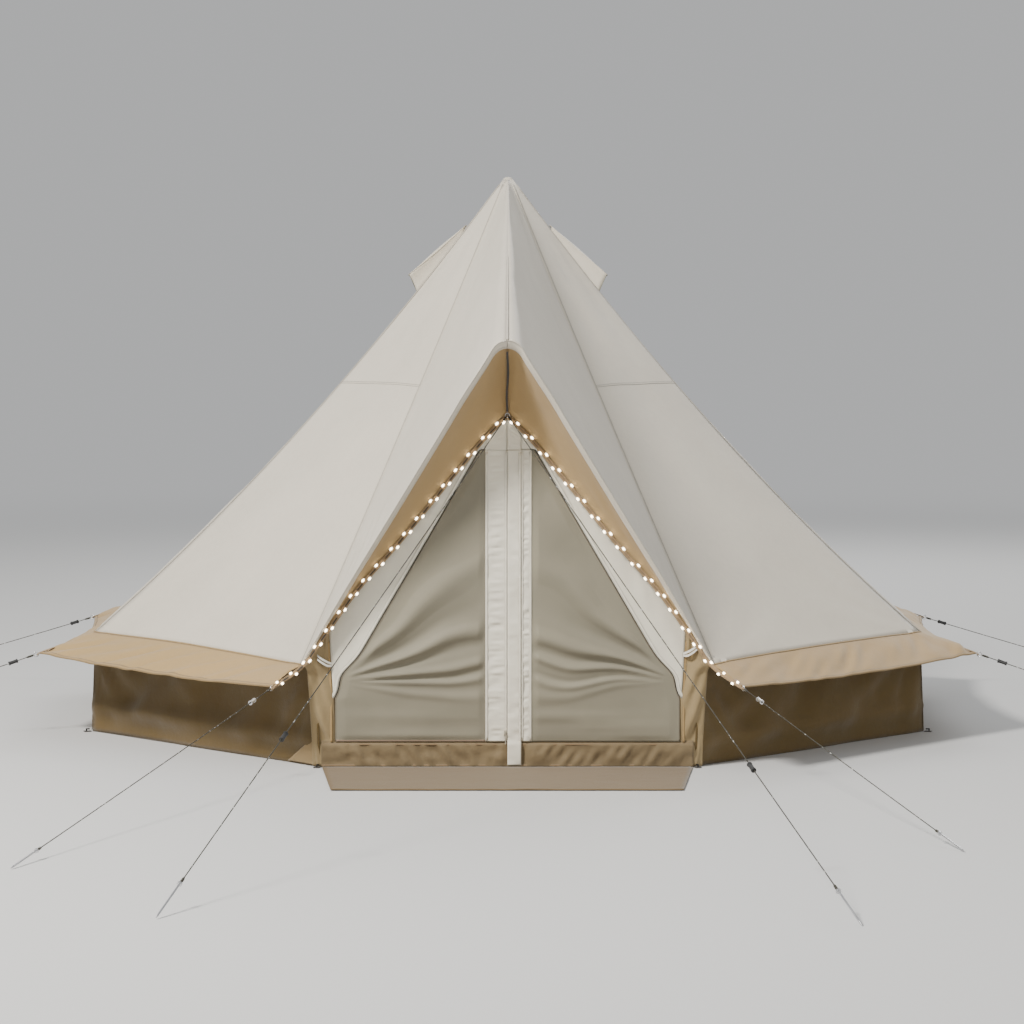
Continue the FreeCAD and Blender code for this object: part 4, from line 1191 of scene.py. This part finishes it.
def add_vents():
    """Propped hoods high on both sides, with cloth cheeks and netting between the lip and the roof."""
    for name, side in SIDES:
        body = f"{name}_hood"
        low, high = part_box(f"vent_hood_{name}")
        near, far = (high[0], low[0]) if side < 0 else (low[0], high[0])
        lip_z = low[2] + 0.002
        rows, cols = 24, 30
        t = np.linspace(0, 1, rows)[:, None]
        u = np.linspace(-1, 1, cols)[None, :]
        x = near * (1 - t) + far * t + 0 * u
        z = high[2] * (1 - t) + lip_z * t + 0 * u
        y = u * (0.080 * (1 - t) + high[1] * t)
        lift = 0.010 * np.sin(np.pi * t) * (1 - u ** 2) - 0.006 * u ** 2 * np.sin(np.pi * t)
        grid = np.stack([x + side * lift * 0.5, y, z + lift * 0.7], axis=-1)
        grid = facing(grid, (side, 0, 1), 10, 10)
        hood = cloth_piece(f"vent_hood_cloth_{name}", grid, roof_cloth, body)
        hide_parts(f"vent_hood_{name}")
        lip = grid[-1]
        edge = tape(f"vent_hood_lip_{name}", lip + (0, 0, 0.001), (-side, 0, 1.0), 0.014, roof_seam, body)
        declare_cloth(grid)
        # netting from the lip down to the roof, and a cheek at each end of it
        foot_x = abs(far) - 0.040
        foot = np.array([side * foot_x, 0, gore_height(foot_x)])
        seat = lip * (0, 1, 0) + foot
        t = np.linspace(0, 1, 8)[:, None, None]
        pieces = [("net", lip[None] * (1 - t) + seat[None] * t, vent_net, 0.0008)]
        for end_name, end in (("front", -1), ("rear", 1)):
            share = np.linspace(0.03, 1, 16)
            half = end * (0.080 * (1 - share) + high[1] * share)
            top_x = near * (1 - share) + far * share
            top_edge = np.stack([top_x, half, high[2] * (1 - share) + lip_z * share], axis=1)
            low_x = np.abs(near) * (1 - share) + foot_x * share
            low_edge = np.stack([side * low_x, half, [gore_height(v) for v in low_x]], axis=1)
            ease = (share * 4 * np.linspace(0, 1, 7)[:, None] * (1 - np.linspace(0, 1, 7)[:, None]))[..., None]
            cheek = ruled(top_edge, low_edge, 7) - np.array([0, end * 0.010, 0]) * ease
            pieces.append((f"cheek_{end_name}", cheek, roof_cloth, CLOTH))
        for kind, piece_grid, material, thickness in pieces:
            outward = (0, -1 if "front" in kind else 1, 0) if "cheek" in kind else (side, 0, 0)
            piece_grid = facing(piece_grid, outward, 4, 8)
            piece = cloth_piece(f"vent_{kind}_{name}", piece_grid, material, None, thickness)
            if kind == "net":
                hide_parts("vent_screens")
            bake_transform(piece)
            declare_cloth(piece_grid)


def add_ridge_strap():
    """A thin dark webbing strap, a little slack, from the awning's peak to the knot ring."""
    low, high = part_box("ridge_strap")
    line = np.linspace((0, low[1] + 0.004, high[2] - 0.004), (0, high[1] - 0.003, low[2] + 0.003), 60)
    share = np.linspace(0, 1, 60)
    line[:, 0] += 0.0045 * np.sin(share * 5.2 + 0.2) * np.sin(np.pi * share)
    strap = tape("ridge_strap_webbing", line, (1, 0, 0), 0.009, webbing, "tent", lift=0.0006, thickness=0.0016)
    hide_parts("ridge_strap")


def add_peak_cap():
    low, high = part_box("peak_cap")
    profile = [(0.047, low[2] - 0.034), (0.041, low[2] - 0.024), (0.032, low[2] - 0.011), (0.025, low[2] + 0.000),
               (0.020, high[2] - 0.006), (0.014, high[2] - 0.002), (0.004, high[2])]
    profile = [(z, r) for r, _, z in smooth_line([(r, 0, z) for r, z in profile], 5)]
    verts, faces = [], []
    turn(verts, faces, (0, 0, 0), (0, 0, 1), profile, 48)
    cap = new_object("peak_cap_cloth", verts, faces, roof_seam, "tent")
    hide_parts("peak_cap")


# ---------------------------------------------------------------- cords and fittings


CORD_DIAMETER = 0.004
SIDE_CORD = ((2.23886, 0.92737, 0.37554), (2.73882, 1.13445, 0.21364), (3.23877, 1.34154, 0.05973))
CORD_ROUTES = {
    "guyline_front_right": [(1.01448, -2.22453, 0.37018), (1.30805, -3.07412, 0.201), (1.60163, -3.92371, 0.03982)],
    "guyline_front_left": [(-1.01414, -2.22477, 0.37087), (-1.34868, -3.24334, 0.19876), (-1.68322, -4.2619, 0.03464)],
    "guyline_door_left": [(-0.006, -2.00208, 1.528), (-0.40932, -3.20049, 0.96705), (-1.06737, -5.15578, 0.0834)],
    "guyline_door_right": [(0.006, -2.00208, 1.528), (0.41242, -3.24368, 0.96626), (1.07554, -5.26945, 0.08133)],
    "guyline_right_front": [(x, -y, z) for x, y, z in SIDE_CORD],
    "guyline_right_rear": [(x, y, z) for x, y, z in SIDE_CORD],
    "guyline_left_front": [(-x, -y, z) for x, y, z in SIDE_CORD],
    "guyline_left_rear": [(-x, y, z) for x, y, z in SIDE_CORD],
    "guyline_rear_right": [(y, x, z) for x, y, z in SIDE_CORD],
    "guyline_rear_left": [(-y, x, z) for x, y, z in SIDE_CORD],
}


def add_cords():
    for name, route in CORD_ROUTES.items():
        data = bpy.data.curves.new(name + "_cord", "CURVE")
        data.dimensions = "3D"
        spline = data.splines.new("NURBS")
        spline.points.add(len(route) - 1)
        for point, place in zip(spline.points, route):
            point.co = (*place, 1)
        spline.use_endpoint_u = True
        spline.order_u = 3
        spline.resolution_u = 24
        data.bevel_depth = CORD_DIAMETER / 2
        data.bevel_resolution = 3
        data.use_fill_caps = True
        data.materials.append(guy_braid)
        cord = bpy.data.objects.new(name + "_cord", data)
        bpy.context.scene.collection.objects.link(cord)
        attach(cord, "tent")
        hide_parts(name)


KNOT_PROFILE = [(0, 0.0034), (0.12, 0.0052), (0.3, 0.0044), (0.42, 0.0054), (0.6, 0.0044), (0.75, 0.0052), (1, 0.0028)]


def add_knots():
    """Bound knots at both ends of every cord, and the webbing loops that hold the rings."""
    for name, route in CORD_ROUTES.items():
        verts, faces = [], []
        for end, inward in ((route[0], route[1]), (route[-1], route[-2])):
            end, inward = np.array(end), np.array(inward)
            along = unit(inward - end)
            turn(verts, faces, end + along * 0.001, along * 0.033, KNOT_PROFILE, 12)
        new_object(name + "_knots", verts, faces, guy_braid, "tent")
    for corner in range(LAST_CORNER + 1):
        tip = eave_tip(corner)
        outward = corner_direction(corner)
        across = np.cross(outward, (0, 0, 1.0))
        route = ((-0.075, 0.028), (-0.03, 0.014), (0, 0.003), (0.010, -0.006))
        line = smooth_line([tip + outward * out + (0, 0, up) for out, up in route], 6)
        tape(f"eave_loop_{corner}", line, across, 0.020, tan_webbing, "tent", lift=0.0015, thickness=0.002)


def dress_cad_nodes():
    """Give the CAD pieces that stay in view their finishes."""
    finishes = {
        "centre_pole_lower": pole_paint, "centre_pole_upper": pole_paint,
        "door_pole_left": pole_paint, "door_pole_right": pole_paint,
        "centre_pole_foot": black_plastic, "centre_pole_cap": black_plastic, "door_pole_hub": black_plastic,
        "led_battery_case": black_plastic, "led_switch": lamp_lens, "centre_pole_button": bright_steel,
        "guy_rings": bright_steel, "guy_stakes": bright_steel, "zip_slider": zip_metal, "zip_pull": zip_metal,
        "peg_loops": webbing, "wall_pegs": dark_steel,
    }
    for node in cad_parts:
        if node.startswith("tensioner_"):
            finishes[node] = bright_steel if node.startswith("tensioner_front") else black_plastic
    for node, material in finishes.items():
        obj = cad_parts[node]
        for polygon_slot in obj.material_slots:
            polygon_slot.material = material
        if not obj.material_slots:
            obj.data.materials.append(material)


add_camera()
add_studio()
add_cords()
add_roof()
add_awning()
add_hem_and_soffit()
add_eave_band()
add_walls()
add_door_surround()
add_gussets()
add_door_leaf("left", -1, *LEFT_STRIP)
add_door_leaf("right", 1, *RIGHT_STRIP)
add_zip_cover()
add_sill_and_mat()
add_groundsheet()
add_cable_port()
add_strip_light()
add_vents()
add_peak_cap()
add_ridge_strap()
add_knots()
dress_cad_nodes()
